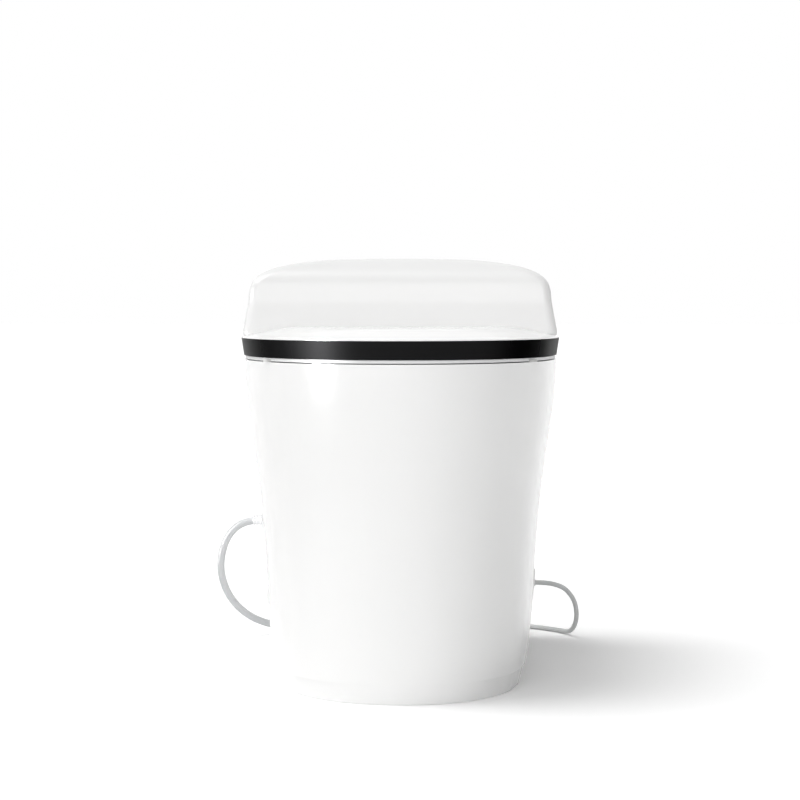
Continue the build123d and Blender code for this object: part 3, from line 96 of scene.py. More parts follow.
# Water supply hose
HOSE_DIAMETER = 0.010
HOSE_ROUTE = [
    (-0.193, 0.235, 0.168),
    (-0.216, 0.235, 0.168),
    (-0.240, 0.2355, 0.150),
    (-0.2515, 0.238, 0.118),
    (-0.251, 0.246, 0.085),
    (-0.238, 0.262, 0.052),
    (-0.212, 0.284, 0.025),
    (-0.175, 0.306, 0.010),
    (-0.132, 0.322, 0.006),
    (-0.088, 0.331, 0.007),
    (-0.046, 0.333, 0.0121),
    (-0.016, 0.333, 0.0121),
]

# Collars crimped on the hose's ends, with two grooves each
COLLAR_RADIUS = 0.0064
COLLAR_BORE_SHARE = 0.35
COLLAR_LENGTH = 0.013
COLLAR_EDGE = 0.0006
COLLAR_ROUND = 0.0008
COLLAR_GROOVE = 0.0005
COLLAR_GROOVE_SHARES = (0.3, 0.34, 0.42, 0.46)
COLLAR_PITCH_SHARE = 0.32

# Strain relief at the mains cord's way out: a stem, a flange and a tapering sleeve with ribs.
# The stem and the neck are shares of the flange's radius. A rib's steps are shares of its pitch.
RELIEF_SLEEVE = 0.0205
RELIEF_STEM_SHARE = 0.7
RELIEF_NECK_SHARE = 0.72
RELIEF_FLANGE = 0.0032
RELIEF_EDGE = 0.0006
RELIEF_ROUND = 0.0008
RELIEF_GAP = 0.0004
RELIEF_CORE = 0.0042
RELIEF_RIBS = 6
RELIEF_RIB = 0.0078
RELIEF_RIB_FALL = 0.0028
RELIEF_RIB_TAPER = 0.0003
RELIEF_RIB_SHARES = (0, 0.3, 0.36, 0.9, 0.97)

# Plug: a soft-edged body with finger ribs. The ribs' places are shares of the body's length.
PLUG_EDGE = 0.0035
PLUG_SEGMENTS = 5
PLUG_RIBS = 5
PLUG_RIB_HEIGHT = 0.0007
PLUG_RIB_WIDTH = 0.0016
PLUG_RIB_EDGE = 0.0004
PLUG_RIB_SEGMENTS = 2
PLUG_RIB_TALL_SHARE = 0.55
PLUG_RIB_START_SHARE = 0.2
PLUG_RIB_PITCH_SHARE = 0.12

# Plug: its ribbed neck. The ribs' places and the shoulder are shares of the neck's length.
NECK_LENGTH = 0.018
NECK_GAP = 0.0006
NECK_RIBS = 4
NECK_RIB = 0.0044
NECK_RIB_GROWTH = 0.0004
NECK_RIB_START_SHARE = 0.08
NECK_RIB_PITCH_SHARE = 0.2
NECK_RIB_RISE = 0.0008
NECK_RIB_FALL = 0.0022
NECK_RIB_LENGTH = 0.0028
NECK_WAIST = 0.0002
NECK_SHOULDER_SHARE = 0.9
NECK_SHOULDER = 0.0055
NECK_END = 0.0062
NECK_OVERLAP = 0.0005

# Lip in the hood's arch
ARCH_HALF = 0.0128
GASKET_SIDE = 0.0022
GASKET_TOP = 0.0018
GASKET_DEPTH = 0.0022
GASKET_FRONT = 0.0731
GASKET_LOW = 0.423
GASKET_HIGH = 0.4388
GASKET_EDGE = 0.0005
GASKET_SEGMENTS = 3

# Floor: half its side, and its gap under the object.
# Light finds the first white, and the camera sees the second.
FLOOR_HALF_SIDE = 60
FLOOR_GAP = 0.0002
FLOOR_WHITE = 0.8
FLOOR_SEEN_WHITE = 1.14
FLOOR_ROUGHNESS = 0.9

# Room light: its level, and how much brighter the left side is than the middle
ROOM_LEVEL = 0.4
ROOM_SLOPE = 0.15

# Skin: its starting values, and the detail of its noises
SKIN_COLOUR = (0.8, 0.8, 0.8, 1)
SKIN_VALUES = {
    "Tone Drift": 0.02,
    "Tone Scale": 8,
    "Roughness": 0.3,
    "Roughness Drift": 0.05,
    "Grain Scale": 400,
    "Grain Height": 0.00002,
    "Wave Scale": 6,
    "Wave Height": 0,
}
NOISE_MIDDLE = 0.5
TONE_DETAIL = 5
RUB_SCALE = 34
RUB_DETAIL = 6
RUB_ROUGHNESS = 0.6
GRAIN_DETAIL = 3
WAVE_DETAIL = 1

# Brushed lines
BRUSH_SCALE = 60
BRUSH_DETAIL = 4
BRUSH_STRENGTH = 0.35
BRUSH_HEIGHT = 0.0001

# Braid of the hose: the lean of its strands in degrees, their scale, wander and relief
BRAID_LEAN = 38
BRAID_SCALE = 190
BRAID_WANDER = 0.6
BRAID_STRENGTH = 0.6
BRAID_HEIGHT = 0.0004

# Grid of the circuit board
TRACK_SCALE = 160
TRACK_WIDTH = 0.03
TRACK_BLEND = 0.5

# Refractive indices
GLAZE_IOR = 1.5
PLASTIC_IOR = 1.49

# Colours
GLAZE_WHITE = (0.915, 0.915, 0.91)
MOULDED_WHITE = (0.93, 0.93, 0.926)
# The hood's white is drawn darker than the lid's white of the same plastic: painted shade for its
# steep face
HOOD_WHITE_WITH_PAINTED_SHADE = (0.78, 0.78, 0.776)
NOZZLE_WHITE = (0.78, 0.78, 0.77)
SEAT_GREY = (0.79, 0.795, 0.8)
CHASSIS_GREY = (0.5, 0.51, 0.52)
TANK_GREY = (0.24, 0.27, 0.3)
CASE_BLACK = (0.03, 0.03, 0.032)
BAND_BLACK = (0.0102, 0.0102, 0.0106)
BAND_TINT = (0.36, 0.36, 0.36, 1)
CORD_GREY = (0.6, 0.61, 0.61)
SLEEVE_GREY = (0.56, 0.57, 0.58)
BUMPER_GREY = (0.5, 0.5, 0.49)
SEAL_BLACK = (0.025, 0.025, 0.025)
BUTTON_PLATING = (0.56, 0.56, 0.57)
NUT_PLATING = (0.7, 0.7, 0.71)
WAND_STEEL = (0.68, 0.68, 0.69)
BRACKET_ZINC = (0.55, 0.56, 0.57)
SCREW_STEEL = (0.5, 0.5, 0.5)
MACHINED_BRASS = (0.62, 0.48, 0.22)
BLADE_BRASS = (0.66, 0.6, 0.42)
FOIL_COPPER = (0.62, 0.36, 0.2)
LENS_BLUE = (0.85, 0.92, 1)
LACQUER_GREEN = (0.02, 0.14, 0.06)
LACQUER_PATCH = (0.03, 0.17, 0.075)
LACQUER_TRACK = (0.06, 0.24, 0.1)

# Suns: azimuth, elevation, strength and spread
LEFT_KEY = (-97, 67, 1.6, 40)
FRONT_FILL = (-6, 8, 1.66, 60)

# Softbox left of the object, which shows in its gloss
SOFTBOX_PLACE = (-2.45, -0.5, 0.6)
SOFTBOX_TARGET = (0, -0.1, 0.45)
SOFTBOX_WIDTH = 0.95
SOFTBOX_HEIGHT = 0.7
SOFTBOX_POWER = 265


def join_mesh(name, shape, body):
    """A finished piece from a bmesh, riding on a body, with smooth faces."""
    mesh = bpy.data.meshes.new(name)
    shape.to_mesh(mesh)
    shape.free()
    for face in mesh.polygons:
        face.use_smooth = True
    mesh.set_sharp_from_angle(angle=radians(SMOOTH_ANGLE))
    piece = bpy.data.objects.new(name, mesh)
    bpy.context.collection.objects.link(piece)
    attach(piece, body)
    return piece


def turned(shape, profile, start, heading):
    """Adds a turned form to a bmesh: a profile of (along, radius) pairs, spun about a heading."""
    heading = Vector(heading).normalized()
    side = heading.orthogonal().normalized()
    start = Vector(start)
    ring = [shape.verts.new(start + heading * along + side * radius) for along, radius in profile]
    edges = [shape.edges.new(pair) for pair in zip(ring, ring[1:])]
    bmesh.ops.spin(
        shape,
        geom=ring + edges,
        cent=start,
        axis=heading,
        angle=2 * pi,
        steps=TURN_STEPS,
        use_merge=True,
    )
    bmesh.ops.remove_doubles(shape, verts=shape.verts, dist=MERGE_DISTANCE)
    bmesh.ops.recalc_face_normals(shape, faces=shape.faces)


def soft_block(shape, centre, size, edge, segments):
    """Adds a block with rounded edges to a bmesh."""
    block = bmesh.ops.create_cube(
        shape,
        size=1,
        matrix=Matrix.Translation(centre) @ Matrix.Diagonal((*size, 1)),
    )
    edges = dict.fromkeys(side for vert in block["verts"] for side in vert.link_edges)
    bmesh.ops.bevel(
        shape,
        geom=list(edges),
        offset=edge,
        affect="EDGES",
        segments=segments,
        profile=0.5,
        material=-1,
    )


def coil_points():
    """The put-away coil's points: a spiral in, a half turn that climbs, and a spiral out."""
    climb_end = COIL_TURNS + COIL_CLIMB_TURNS
    total = climb_end + COIL_TURNS
    points = []
    for k in range(round(total * COIL_STEPS) + 1):
        turn = k / COIL_STEPS
        if turn <= COIL_TURNS:
            reach = COIL_OUTER - COIL_PITCH * turn
            height = COIL_LOW
        elif turn < climb_end:
            reach = COIL_OUTER - COIL_PITCH * COIL_TURNS
            height = COIL_LOW + COIL_LIFT * (turn - COIL_TURNS) / COIL_CLIMB_TURNS
        else:
            reach = COIL_OUTER - COIL_PITCH * (total - turn)
            height = COIL_LOW + COIL_LIFT
        angle = pi / 2 + 2 * pi * turn
        points.append((COIL_X + reach * cos(angle), COIL_Y + reach * sin(angle), height))
    return points


def smooth_cord(name, points, diameter):
    """A round cord on one smooth spline, riding on the body."""
    curve = bpy.data.curves.new(name, "CURVE")
    curve.dimensions = "3D"
    curve.bevel_depth = 1
    curve.bevel_resolution = CORD_ROUNDING
    curve.resolution_u = CORD_STEPS
    curve.use_fill_caps = True
    spline = curve.splines.new("NURBS")
    spline.points.add(len(points) - 1)
    for point, place in zip(spline.points, points):
        point.co = (*place, 1)
        point.radius = diameter / 2
    spline.order_u = 3
    spline.use_endpoint_u = True
    piece = bpy.data.objects.new(name, curve)
    bpy.context.collection.objects.link(piece)
    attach(piece, "body")
    return piece


def strain_relief():
    """The tapered, ribbed sleeve at the flank, with its flange."""
    low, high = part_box("cord_gland")
    centre_y = (low.y + high.y) / 2
    centre_z = (low.z + high.z) / 2
    flange = (high.y - low.y) / 2
    length = high.x - low.x
    stem = length - RELIEF_SLEEVE
    profile = [
        (0, 0),
        (0, flange * RELIEF_STEM_SHARE),
        (stem - RELIEF_FLANGE, flange * RELIEF_STEM_SHARE),
        (stem - RELIEF_FLANGE, flange - RELIEF_EDGE),
        (stem - RELIEF_FLANGE + RELIEF_EDGE, flange),
        (stem - RELIEF_ROUND, flange),
        (stem, flange - RELIEF_ROUND),
        (stem, flange * RELIEF_NECK_SHARE),
    ]
    start = stem + RELIEF_GAP
    pitch = (length - start - RELIEF_EDGE) / RELIEF_RIBS
    for k in range(RELIEF_RIBS):
        rib = RELIEF_RIB - RELIEF_RIB_FALL * (k / RELIEF_RIBS)
        radii = (RELIEF_CORE, RELIEF_CORE, rib, rib - RELIEF_RIB_TAPER, RELIEF_CORE)
        for share, radius in zip(RELIEF_RIB_SHARES, radii):
            profile.append((start + pitch * (k + share), radius))
    profile.append((length, RELIEF_CORE))
    profile.append((length, 0))
    shape = bmesh.new()
    turned(shape, profile, (low.x, centre_y, centre_z), (1, 0, 0))
    piece = join_mesh("strain_relief", shape, "body")
    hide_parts("cord_gland")
    return piece


def mains_plug():
    """The moulded plug: a ribbed neck and a soft-edged body with finger ribs."""
    low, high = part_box("power_plug")
    centre_y = (low.y + high.y) / 2
    centre_z = (low.z + high.z) / 2
    width = high.y - low.y
    height = high.z - low.z
    body_length = high.x - low.x - NECK_LENGTH
    body_x = low.x + NECK_LENGTH
    shape = bmesh.new()
    soft_block(
        shape,
        (body_x + body_length / 2, centre_y, centre_z),
        (body_length, width, height),
        PLUG_EDGE,
        PLUG_SEGMENTS,
    )
    for k in range(PLUG_RIBS):
        for side in (-1, 1):
            soft_block(
                shape,
                (
                    body_x + body_length * (PLUG_RIB_START_SHARE + PLUG_RIB_PITCH_SHARE * k),
                    centre_y + side * (width / 2 - PLUG_RIB_HEIGHT),
                    centre_z,
                ),
                (PLUG_RIB_WIDTH, 2 * PLUG_RIB_HEIGHT, height * PLUG_RIB_TALL_SHARE),
                PLUG_RIB_EDGE,
                PLUG_RIB_SEGMENTS,
            )
    profile = [(0, 0), (0, CORD_DIAMETER / 2 + NECK_GAP)]
    for k in range(NECK_RIBS):
        along = NECK_LENGTH * (NECK_RIB_START_SHARE + NECK_RIB_PITCH_SHARE * k)
        rib = NECK_RIB + NECK_RIB_GROWTH * k
        profile.extend(
            [
                (along, RELIEF_CORE),
                (along + NECK_RIB_RISE, rib),
                (along + NECK_RIB_FALL, rib),
                (along + NECK_RIB_LENGTH, RELIEF_CORE + NECK_WAIST),
            ]
        )
    profile.extend(
        [
            (NECK_LENGTH * NECK_SHOULDER_SHARE, NECK_SHOULDER),
            (NECK_LENGTH + NECK_OVERLAP, NECK_END),
            (NECK_LENGTH + NECK_OVERLAP, 0),
        ]
    )
    turned(shape, profile, (low.x, centre_y, centre_z), (1, 0, 0))
    piece = join_mesh("mains_plug", shape, "body")
    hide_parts("power_plug")
    return piece


def hose_collars():
    """The two crimped collars that hold the hose in its nuts."""
    profile = [
        (0, HOSE_DIAMETER * COLLAR_BORE_SHARE),
        (0, COLLAR_RADIUS - COLLAR_EDGE),
        (COLLAR_EDGE, COLLAR_RADIUS),
    ]
    for start in (0, COLLAR_PITCH_SHARE):
        for share, depth in zip(COLLAR_GROOVE_SHARES, (0, COLLAR_GROOVE, COLLAR_GROOVE, 0)):
            profile.append((COLLAR_LENGTH * (start + share), COLLAR_RADIUS - depth))
    profile.extend(
        [
            (COLLAR_LENGTH - COLLAR_ROUND, COLLAR_RADIUS),
            (COLLAR_LENGTH, COLLAR_RADIUS - COLLAR_ROUND),
            (COLLAR_LENGTH, HOSE_DIAMETER / 2),
        ]
    )
    shape = bmesh.new()
    for end in (HOSE_ROUTE[0], HOSE_ROUTE[-1]):
        turned(shape, profile, end, (-1, 0, 0))
    return join_mesh("hose_collars", shape, "body")


def arch_gasket():
    """The rubber lip that closes the hood's arch around the nozzle housing."""
    shape = bmesh.new()
    for across, width, low, high in (
        (-1, GASKET_SIDE, GASKET_LOW, GASKET_HIGH),
        (1, GASKET_SIDE, GASKET_LOW, GASKET_HIGH),
        (0, 2 * ARCH_HALF, GASKET_HIGH - GASKET_TOP, GASKET_HIGH),
    ):
        centre = (
            across * (ARCH_HALF - width / 2),
            GASKET_FRONT + GASKET_DEPTH / 2,
            (low + high) / 2,
        )
        size = (width, GASKET_DEPTH, high - low)
        soft_block(shape, centre, size, GASKET_EDGE, GASKET_SEGMENTS)
    return join_mesh("arch_gasket", shape, "body")


def cords():
    """The mains cord with its coil, relief and plug, and the supply hose with its collars."""
    relief = strain_relief()
    plug = mains_plug()
    mains_route = CORD_ROUTE + coil_points() + TAIL_ROUTE
    mains = smooth_cord("mains_cord", mains_route, CORD_DIAMETER)
    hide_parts("power_cord", "power_cord_coil", "power_cord_tail")
    hose = smooth_cord("water_hose", HOSE_ROUTE, HOSE_DIAMETER)
    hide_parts("supply_hose")
    collars = hose_collars()
    return [mains, relief, plug, hose, collars]


def add_socket(group, name, kind, side, value=None):
    """A named socket on a node group, with its starting value."""
    socket = group.interface.new_socket(name=name, in_out=side, socket_type=kind)
    if value is not None:
        socket.default_value = value


def link_value(tree, source, target):
    """Joins one socket to another."""
    tree.links.new(source, target)


def add_noise(tree, vector, scale, detail, roughness=0.5):
    """A noise texture on object coordinates."""
    noise = tree.nodes.new("ShaderNodeTexNoise")
    noise.inputs["Detail"].default_value = detail
    noise.inputs["Roughness"].default_value = roughness
    link_value(tree, vector, noise.inputs["Vector"])
    if isinstance(scale, (int, float)):
        noise.inputs["Scale"].default_value = scale
    else:
        link_value(tree, scale, noise.inputs["Scale"])
    return noise


def add_math(tree, operation, first, second):
    """A math node between two sockets or numbers."""
    node = tree.nodes.new("ShaderNodeMath")
    node.operation = operation
    for socket, value in zip(node.inputs, (first, second)):
        if isinstance(value, (int, float)):
            socket.default_value = value
        else:
            link_value(tree, value, socket)
    return node.outputs[0]


def make_surface_group():
    """The shared skin of every finish: a drifting tone, a drifting roughness and a fine relief."""
    group = bpy.data.node_groups.new("surface_skin", "ShaderNodeTree")
    add_socket(group, "Colour", "NodeSocketColor", "INPUT", SKIN_COLOUR)
    for name, value in SKIN_VALUES.items():
        add_socket(group, name, "NodeSocketFloat", "INPUT", value)
    add_socket(group, "Colour", "NodeSocketColor", "OUTPUT")
    add_socket(group, "Roughness", "NodeSocketFloat", "OUTPUT")
    add_socket(group, "Normal", "NodeSocketVector", "OUTPUT")
    taken = group.nodes.new("NodeGroupInput")
    given = group.nodes.new("NodeGroupOutput")
    place = group.nodes.new("ShaderNodeTexCoord").outputs["Object"]

    tone = add_noise(group, place, taken.outputs["Tone Scale"], TONE_DETAIL)
    shade = add_math(group, "SUBTRACT", tone.outputs["Fac"], NOISE_MIDDLE)
    shade = add_math(group, "MULTIPLY", shade, taken.outputs["Tone Drift"])
    shade = add_math(group, "ADD", shade, 1)
    scaled = group.nodes.new("ShaderNodeVectorMath")
    scaled.operation = "SCALE"
    link_value(group, taken.outputs["Colour"], scaled.inputs[0])
    link_value(group, shade, scaled.inputs["Scale"])
    link_value(group, scaled.outputs[0], given.inputs["Colour"])

    rub = add_noise(group, place, RUB_SCALE, RUB_DETAIL, RUB_ROUGHNESS)
    rough = add_math(group, "SUBTRACT", rub.outputs["Fac"], NOISE_MIDDLE)
    rough = add_math(group, "MULTIPLY", rough, taken.outputs["Roughness Drift"])
    rough = add_math(group, "ADD", rough, taken.outputs["Roughness"])
    link_value(group, rough, given.inputs["Roughness"])

    grain = add_noise(group, place, taken.outputs["Grain Scale"], GRAIN_DETAIL)
    fine = add_math(group, "MULTIPLY", grain.outputs["Fac"], taken.outputs["Grain Height"])
    wave = add_noise(group, place, taken.outputs["Wave Scale"], WAVE_DETAIL)
    broad = add_math(group, "MULTIPLY", wave.outputs["Fac"], taken.outputs["Wave Height"])
    height = add_math(group, "ADD", fine, broad)
    bump = group.nodes.new("ShaderNodeBump")
    bump.inputs["Strength"].default_value = 1
    bump.inputs["Distance"].default_value = 1
    link_value(group, height, bump.inputs["Height"])
    link_value(group, bump.outputs["Normal"], given.inputs["Normal"])
    return group


SKIN = make_surface_group()


def new_finish(name, colour, roughness, **skin):
    """A material on the shared skin. Returns the material, its shader and its skin node."""
    material = bpy.data.materials.new(name)
    material.use_nodes = True
    tree = material.node_tree
    shader = tree.nodes["Principled BSDF"]
    node = tree.nodes.new("ShaderNodeGroup")
    node.node_tree = SKIN
    node.inputs["Colour"].default_value = (*colour, 1)
    node.inputs["Roughness"].default_value = roughness
    for key, value in skin.items():
        node.inputs[key.replace("_", " ").title()].default_value = value
    link_value(tree, node.outputs["Colour"], shader.inputs["Base Color"])
    link_value(tree, node.outputs["Roughness"], shader.inputs["Roughness"])
    link_value(tree, node.outputs["Normal"], shader.inputs["Normal"])
    return material, shader, node


def glazed_ceramic():
    """Fired white glaze: glassy, with a slight pooling wave."""
    material, shader, _ = new_finish(
        "glazed_ceramic",
        GLAZE_WHITE,
        roughness=0.12,
        tone_drift=0.012,
        tone_scale=5,
        roughness_drift=0.05,
        grain_scale=90,
        grain_height=0.000006,
        wave_scale=7,
        wave_height=0.00035,
    )
    shader.inputs["Coat Weight"].default_value = 0.25
    shader.inputs["Coat Roughness"].default_value = 0.06
    shader.inputs["IOR"].default_value = GLAZE_IOR
    return material


def gloss_moulding(name, colour, roughness):
    """Gloss moulded plastic with a faint orange peel."""
    material, shader, _ = new_finish(
        name,
        colour,
        roughness,
        tone_drift=0.01,
        roughness_drift=0.05,
        grain_scale=420,
        grain_height=0.000008,
        wave_scale=14,
        wave_height=0.00004,
    )
    shader.inputs["IOR"].default_value = PLASTIC_IOR
    shader.inputs["Coat Weight"].default_value = 0.25
    shader.inputs["Coat Roughness"].default_value = 0.08
    return material


def matte_moulding(name, colour, roughness=0.55):
    """Matte moulded plastic with a fine spark-eroded texture."""
    material, _, _ = new_finish(
        name,
        colour,
        roughness,
        tone_drift=0.05,
        roughness_drift=0.12,
        grain_scale=1400,
        grain_height=0.00004,
    )
    return material


def soft_rubber(name, colour):
    """Matte rubber with a dusty bloom."""
    material, shader, _ = new_finish(
        name,
        colour,
        roughness=0.7,
        tone_drift=0.12,
        tone_scale=30,
        roughness_drift=0.15,
        grain_scale=900,
        grain_height=0.00005,
    )
    shader.inputs["Sheen Weight"].default_value = 0.15
    return material


def plated_metal(name, colour, roughness):
    """Bright plating with a little waviness."""
    material, shader, _ = new_finish(
        name,
        colour,
        roughness,
        tone_drift=0.04,
        tone_scale=20,
        roughness_drift=0.06,
        grain_scale=300,
        grain_height=0.000004,
        wave_scale=40,
        wave_height=0.00002,
    )
    shader.inputs["Metallic"].default_value = 1
    return material


def brushed_metal(name, colour, roughness, stretch):
    """Metal with fine lines along one axis, given by its stretch."""
    material, shader, node = new_finish(
        name,
        colour,
        roughness,
        tone_drift=0.06,
        tone_scale=25,
        roughness_drift=0.1,
    )
    shader.inputs["Metallic"].default_value = 1
    tree = material.node_tree
    place = tree.nodes.new("ShaderNodeTexCoord")
    mapping = tree.nodes.new("ShaderNodeMapping")
    mapping.inputs["Scale"].default_value = stretch
    link_value(tree, place.outputs["Object"], mapping.inputs["Vector"])
    lines = add_noise(tree, mapping.outputs["Vector"], BRUSH_SCALE, BRUSH_DETAIL)
    bump = tree.nodes.new("ShaderNodeBump")
    bump.inputs["Strength"].default_value = BRUSH_STRENGTH
    bump.inputs["Distance"].default_value = BRUSH_HEIGHT
    link_value(tree, lines.outputs["Fac"], bump.inputs["Height"])
    link_value(tree, node.outputs["Normal"], bump.inputs["Normal"])
    link_value(tree, bump.outputs["Normal"], shader.inputs["Normal"])
    return material


def band_gloss():
    """The black anodised band: dark at every angle, with a broad soft highlight."""
    material, shader, _ = new_finish(
        "band_gloss",
        BAND_BLACK,
        roughness=0.34,
        tone_drift=0.1,
        roughness_drift=0.06,
        grain_scale=500,
        grain_height=0.000006,
    )
    shader.inputs["Metallic"].default_value = 1
    shader.inputs["Specular Tint"].default_value = BAND_TINT
    return material


def woven_sleeve():
    """A hose in a braided sleeve: crossed strands that follow the surface."""
    material, shader, node = new_finish(
        "woven_sleeve",
        SLEEVE_GREY,
        roughness=0.42,
        tone_drift=0.08,
        tone_scale=60,
        roughness_drift=0.1,
    )
    tree = material.node_tree
    place = tree.nodes.new("ShaderNodeTexCoord")
    waves = []
    for lean in (BRAID_LEAN, -BRAID_LEAN):
        mapping = tree.nodes.new("ShaderNodeMapping")
        mapping.inputs["Rotation"].default_value = (radians(lean), radians(lean), radians(lean))
        link_value(tree, place.outputs["Object"], mapping.inputs["Vector"])
        wave = tree.nodes.new("ShaderNodeTexWave")
        wave.inputs["Scale"].default_value = BRAID_SCALE
        wave.inputs["Distortion"].default_value = BRAID_WANDER
        link_value(tree, mapping.outputs["Vector"], wave.inputs["Vector"])
        waves.append(wave.outputs["Fac"])
    weave = add_math(tree, "MULTIPLY", waves[0], waves[1])
    bump = tree.nodes.new("ShaderNodeBump")
    bump.inputs["Strength"].default_value = BRAID_STRENGTH
    bump.inputs["Distance"].default_value = BRAID_HEIGHT
    link_value(tree, weave, bump.inputs["Height"])
    link_value(tree, node.outputs["Normal"], bump.inputs["Normal"])
    link_value(tree, bump.outputs["Normal"], shader.inputs["Normal"])
    return material


def frosted_lens():
    """The night light's frosted window."""
    material, shader, _ = new_finish("frosted_lens", LENS_BLUE, roughness=0.45, tone_drift=0.02)
    shader.inputs["Transmission Weight"].default_value = 0.6
    shader.inputs["IOR"].default_value = PLASTIC_IOR
    return material


def board_lacquer():
    """Green solder lacquer with a faint copper grid showing through."""
    material, shader, node = new_finish(
        "board_lacquer",
        LACQUER_GREEN,
        roughness=0.3,
        tone_drift=0.1,
        tone_scale=80,
    )
    tree = material.node_tree
    place = tree.nodes.new("ShaderNodeTexCoord")
    tracks = tree.nodes.new("ShaderNodeTexBrick")
    tracks.inputs["Scale"].default_value = TRACK_SCALE
    tracks.inputs["Color1"].default_value = (*LACQUER_GREEN, 1)
    tracks.inputs["Color2"].default_value = (*LACQUER_PATCH, 1)
    tracks.inputs["Mortar"].default_value = (*LACQUER_TRACK, 1)
    tracks.inputs["Mortar Size"].default_value = TRACK_WIDTH
    link_value(tree, place.outputs["Object"], tracks.inputs["Vector"])
    blend = tree.nodes.new("ShaderNodeMix")
    blend.data_type = "RGBA"
    blend.blend_type = "MULTIPLY"
    blend.inputs["Factor"].default_value = TRACK_BLEND
    link_value(tree, tracks.outputs["Color"], blend.inputs["A"])
    link_value(tree, node.outputs["Colour"], blend.inputs["B"])
    link_value(tree, blend.outputs["Result"], shader.inputs["Base Color"])
    return material


def make_finishes():
    """One material for each of the record's slots."""
    return {
        "ceramic": glazed_ceramic(),
        "white_plastic": gloss_moulding("lid_moulding", MOULDED_WHITE, roughness=0.16),
        # The hood's darker white is painted shade, not a different plastic
        "hood_plastic": gloss_moulding("hood_moulding", HOOD_WHITE_WITH_PAINTED_SHADE, roughness=0.3),
        "cap_plastic": gloss_moulding("cap_moulding", MOULDED_WHITE, roughness=0.2),
        "dark_band": band_gloss(),
        "seat_grey": matte_moulding("seat_underside", SEAT_GREY, roughness=0.4),
        "inner_plastic": matte_moulding("chassis_moulding", CHASSIS_GREY),
        "dark_plastic": matte_moulding("dark_moulding", CASE_BLACK),
        "housing_plastic": gloss_moulding("nozzle_moulding", NOZZLE_WHITE, roughness=0.35),
        "tank_plastic": matte_moulding("tank_moulding", TANK_GREY, roughness=0.45),
        "soft_rubber": soft_rubber("bumper_rubber", BUMPER_GREY),
        "seal_rubber": soft_rubber("seal_rubber", SEAL_BLACK),
        "button_chrome": plated_metal("button_plating", BUTTON_PLATING, roughness=0.22),
        "wand_steel": brushed_metal("wand_steel", WAND_STEEL, roughness=0.26, stretch=(1, 1, 12)),
        "bracket_steel": brushed_metal(
            "bracket_zinc",
            BRACKET_ZINC,
            roughness=0.4,
            stretch=(1, 8, 1),
        ),
        "screw_steel": plated_metal("screw_steel", SCREW_STEEL, roughness=0.32),
        "brass_plate": plated_metal("machined_brass", MACHINED_BRASS, roughness=0.28),
        "nut_chrome": plated_metal("nut_plating", NUT_PLATING, roughness=0.2),
        "heater_foil": plated_metal("foil_print", FOIL_COPPER, roughness=0.4),
        "board_green": board_lacquer(),
        "light_lens": frosted_lens(),
        "cord_plastic": matte_moulding("cord_sheath", CORD_GREY, roughness=0.45),
        "hose_sleeve": woven_sleeve(),
        "blade_brass": plated_metal("blade_plating", BLADE_BRASS, roughness=0.25),
    }


def dress(pieces):
    """Gives every CAD node and every new piece the finish of its slot."""
    finishes = make_finishes()
    slots = {part["node"]: part["material_slot"] for part in frame["record"]["subparts"]}
    for name, node in frame["nodes"].items():
        for holder in node.material_slots:
            holder.material = finishes[slots[name]]
    for piece, slot in pieces:
        piece.data.materials.append(finishes[slot])


def seen_rays(tree):
    """One for rays that the camera sees straight, mirrored or through glass, and else zero."""
    paths = tree.nodes.new("ShaderNodeLightPath")
    rays = paths.outputs
    seen = add_math(tree, "MAXIMUM", rays["Is Camera Ray"], rays["Is Glossy Ray"])
    return add_math(tree, "MAXIMUM", seen, rays["Is Transmission Ray"])


def studio_white(name, colour, seen_colour):
    """A plain white that the camera sees brighter than other light finds it."""
    material = bpy.data.materials.new(name)
    material.use_nodes = True
    tree = material.node_tree
    shader = tree.nodes["Principled BSDF"]
    shader.inputs["Roughness"].default_value = FLOOR_ROUGHNESS
    shader.inputs["Specular IOR Level"].default_value = 0
    extra = add_math(tree, "MULTIPLY", seen_rays(tree), seen_colour - colour)
    white = add_math(tree, "ADD", extra, colour)
    link_value(tree, white, shader.inputs["Base Color"])
    return material


def studio():
    """The white floor that runs back to a far white backdrop."""
    shape = bmesh.new()
    bmesh.ops.create_grid(
        shape,
        x_segments=1,
        y_segments=1,
        size=FLOOR_HALF_SIDE,
        matrix=Matrix.Translation((0, 0, -FLOOR_GAP)),
    )
    mesh = bpy.data.meshes.new("floor")
    shape.to_mesh(mesh)
    shape.free()
    floor = bpy.data.objects.new("floor", mesh)
    bpy.context.collection.objects.link(floor)
    floor.data.materials.append(studio_white("floor_white", FLOOR_WHITE, FLOOR_SEEN_WHITE))

    world = bpy.data.worlds.new("room_light")
    bpy.context.scene.world = world
    world.use_nodes = True
    tree = world.node_tree
    sky = tree.nodes["Background"]
    place = tree.nodes.new("ShaderNodeTexCoord")
    axes = tree.nodes.new("ShaderNodeSeparateXYZ")
    link_value(tree, place.outputs["Generated"], axes.inputs["Vector"])
    slope = add_math(tree, "MULTIPLY", axes.outputs["X"], -ROOM_SLOPE)
    level = add_math(tree, "ADD", slope, ROOM_LEVEL)
    seen = seen_rays(tree)
    unseen = add_math(tree, "SUBTRACT", 1, seen)
    lit = add_math(tree, "MULTIPLY", unseen, level)
    strength = add_math(tree, "ADD", seen, lit)
    sky.inputs["Color"].default_value = (1, 1, 1, 1)
    link_value(tree, strength, sky.inputs["Strength"])


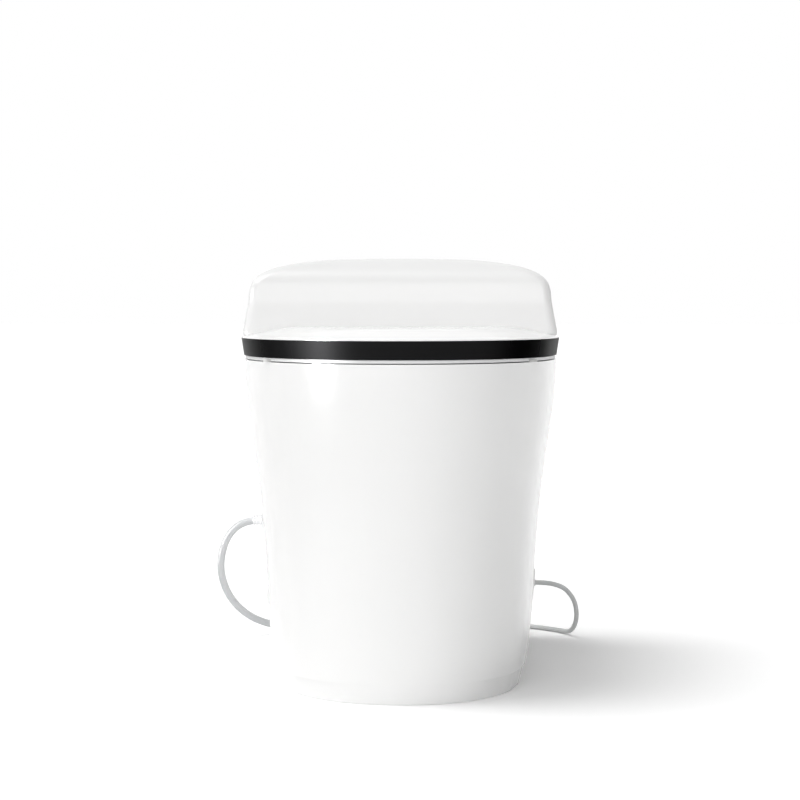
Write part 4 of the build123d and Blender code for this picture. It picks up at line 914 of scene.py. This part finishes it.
def sun(name, azimuth, elevation, strength, spread):
    """A far lamp with even light. Azimuth 0 shines from the front, 90 from the right."""
    lamp = bpy.data.lights.new(name, "SUN")
    lamp.energy = strength
    lamp.angle = radians(spread)
    holder = bpy.data.objects.new(name, lamp)
    turn = radians(azimuth)
    rise = radians(elevation)
    back = Vector((sin(turn) * cos(rise), -cos(turn) * cos(rise), sin(rise)))
    holder.rotation_euler = back.to_track_quat("Z", "Y").to_euler()
    bpy.context.collection.objects.link(holder)


def softbox(name, place, target, width, height, power):
    """A rectangular lamp that faces a target and shows only in glossy surfaces."""
    lamp = bpy.data.lights.new(name, "AREA")
    lamp.shape = "RECTANGLE"
    lamp.size = width
    lamp.size_y = height
    lamp.energy = power
    holder = bpy.data.objects.new(name, lamp)
    holder.location = place
    aim = Vector(target) - Vector(place)
    holder.rotation_euler = aim.to_track_quat("-Z", "Y").to_euler()
    holder.visible_diffuse = False
    bpy.context.collection.objects.link(holder)


def lights():
    """A key from the left that throws the shadow, a low front fill and a softbox for the gloss."""
    sun("left_key", *LEFT_KEY)
    sun("front_fill", *FRONT_FILL)
    softbox(
        "band_softbox",
        SOFTBOX_PLACE,
        SOFTBOX_TARGET,
        SOFTBOX_WIDTH,
        SOFTBOX_HEIGHT,
        SOFTBOX_POWER,
    )


def camera():
    """The photograph's view: level with the rim, from straight ahead."""
    data = bpy.data.cameras.new("camera")
    data.lens = CAMERA_LENS
    data.sensor_width = CAMERA_SENSOR
    holder = bpy.data.objects.new("camera", data)
    holder.location = CAMERA_PLACE
    holder.rotation_euler = (radians(90 - CAMERA_PITCH), 0, 0)
    bpy.context.collection.objects.link(holder)
    bpy.context.scene.camera = holder


camera()
mains, relief, plug, hose, collars = cords()
dress(
    [
        (arch_gasket(), "soft_rubber"),
        (mains, "cord_plastic"),
        (relief, "cord_plastic"),
        (plug, "cord_plastic"),
        (hose, "hose_sleeve"),
        (collars, "nut_chrome"),
    ]
)
studio()
lights()
bpy.context.scene.view_settings.view_transform = "Standard"
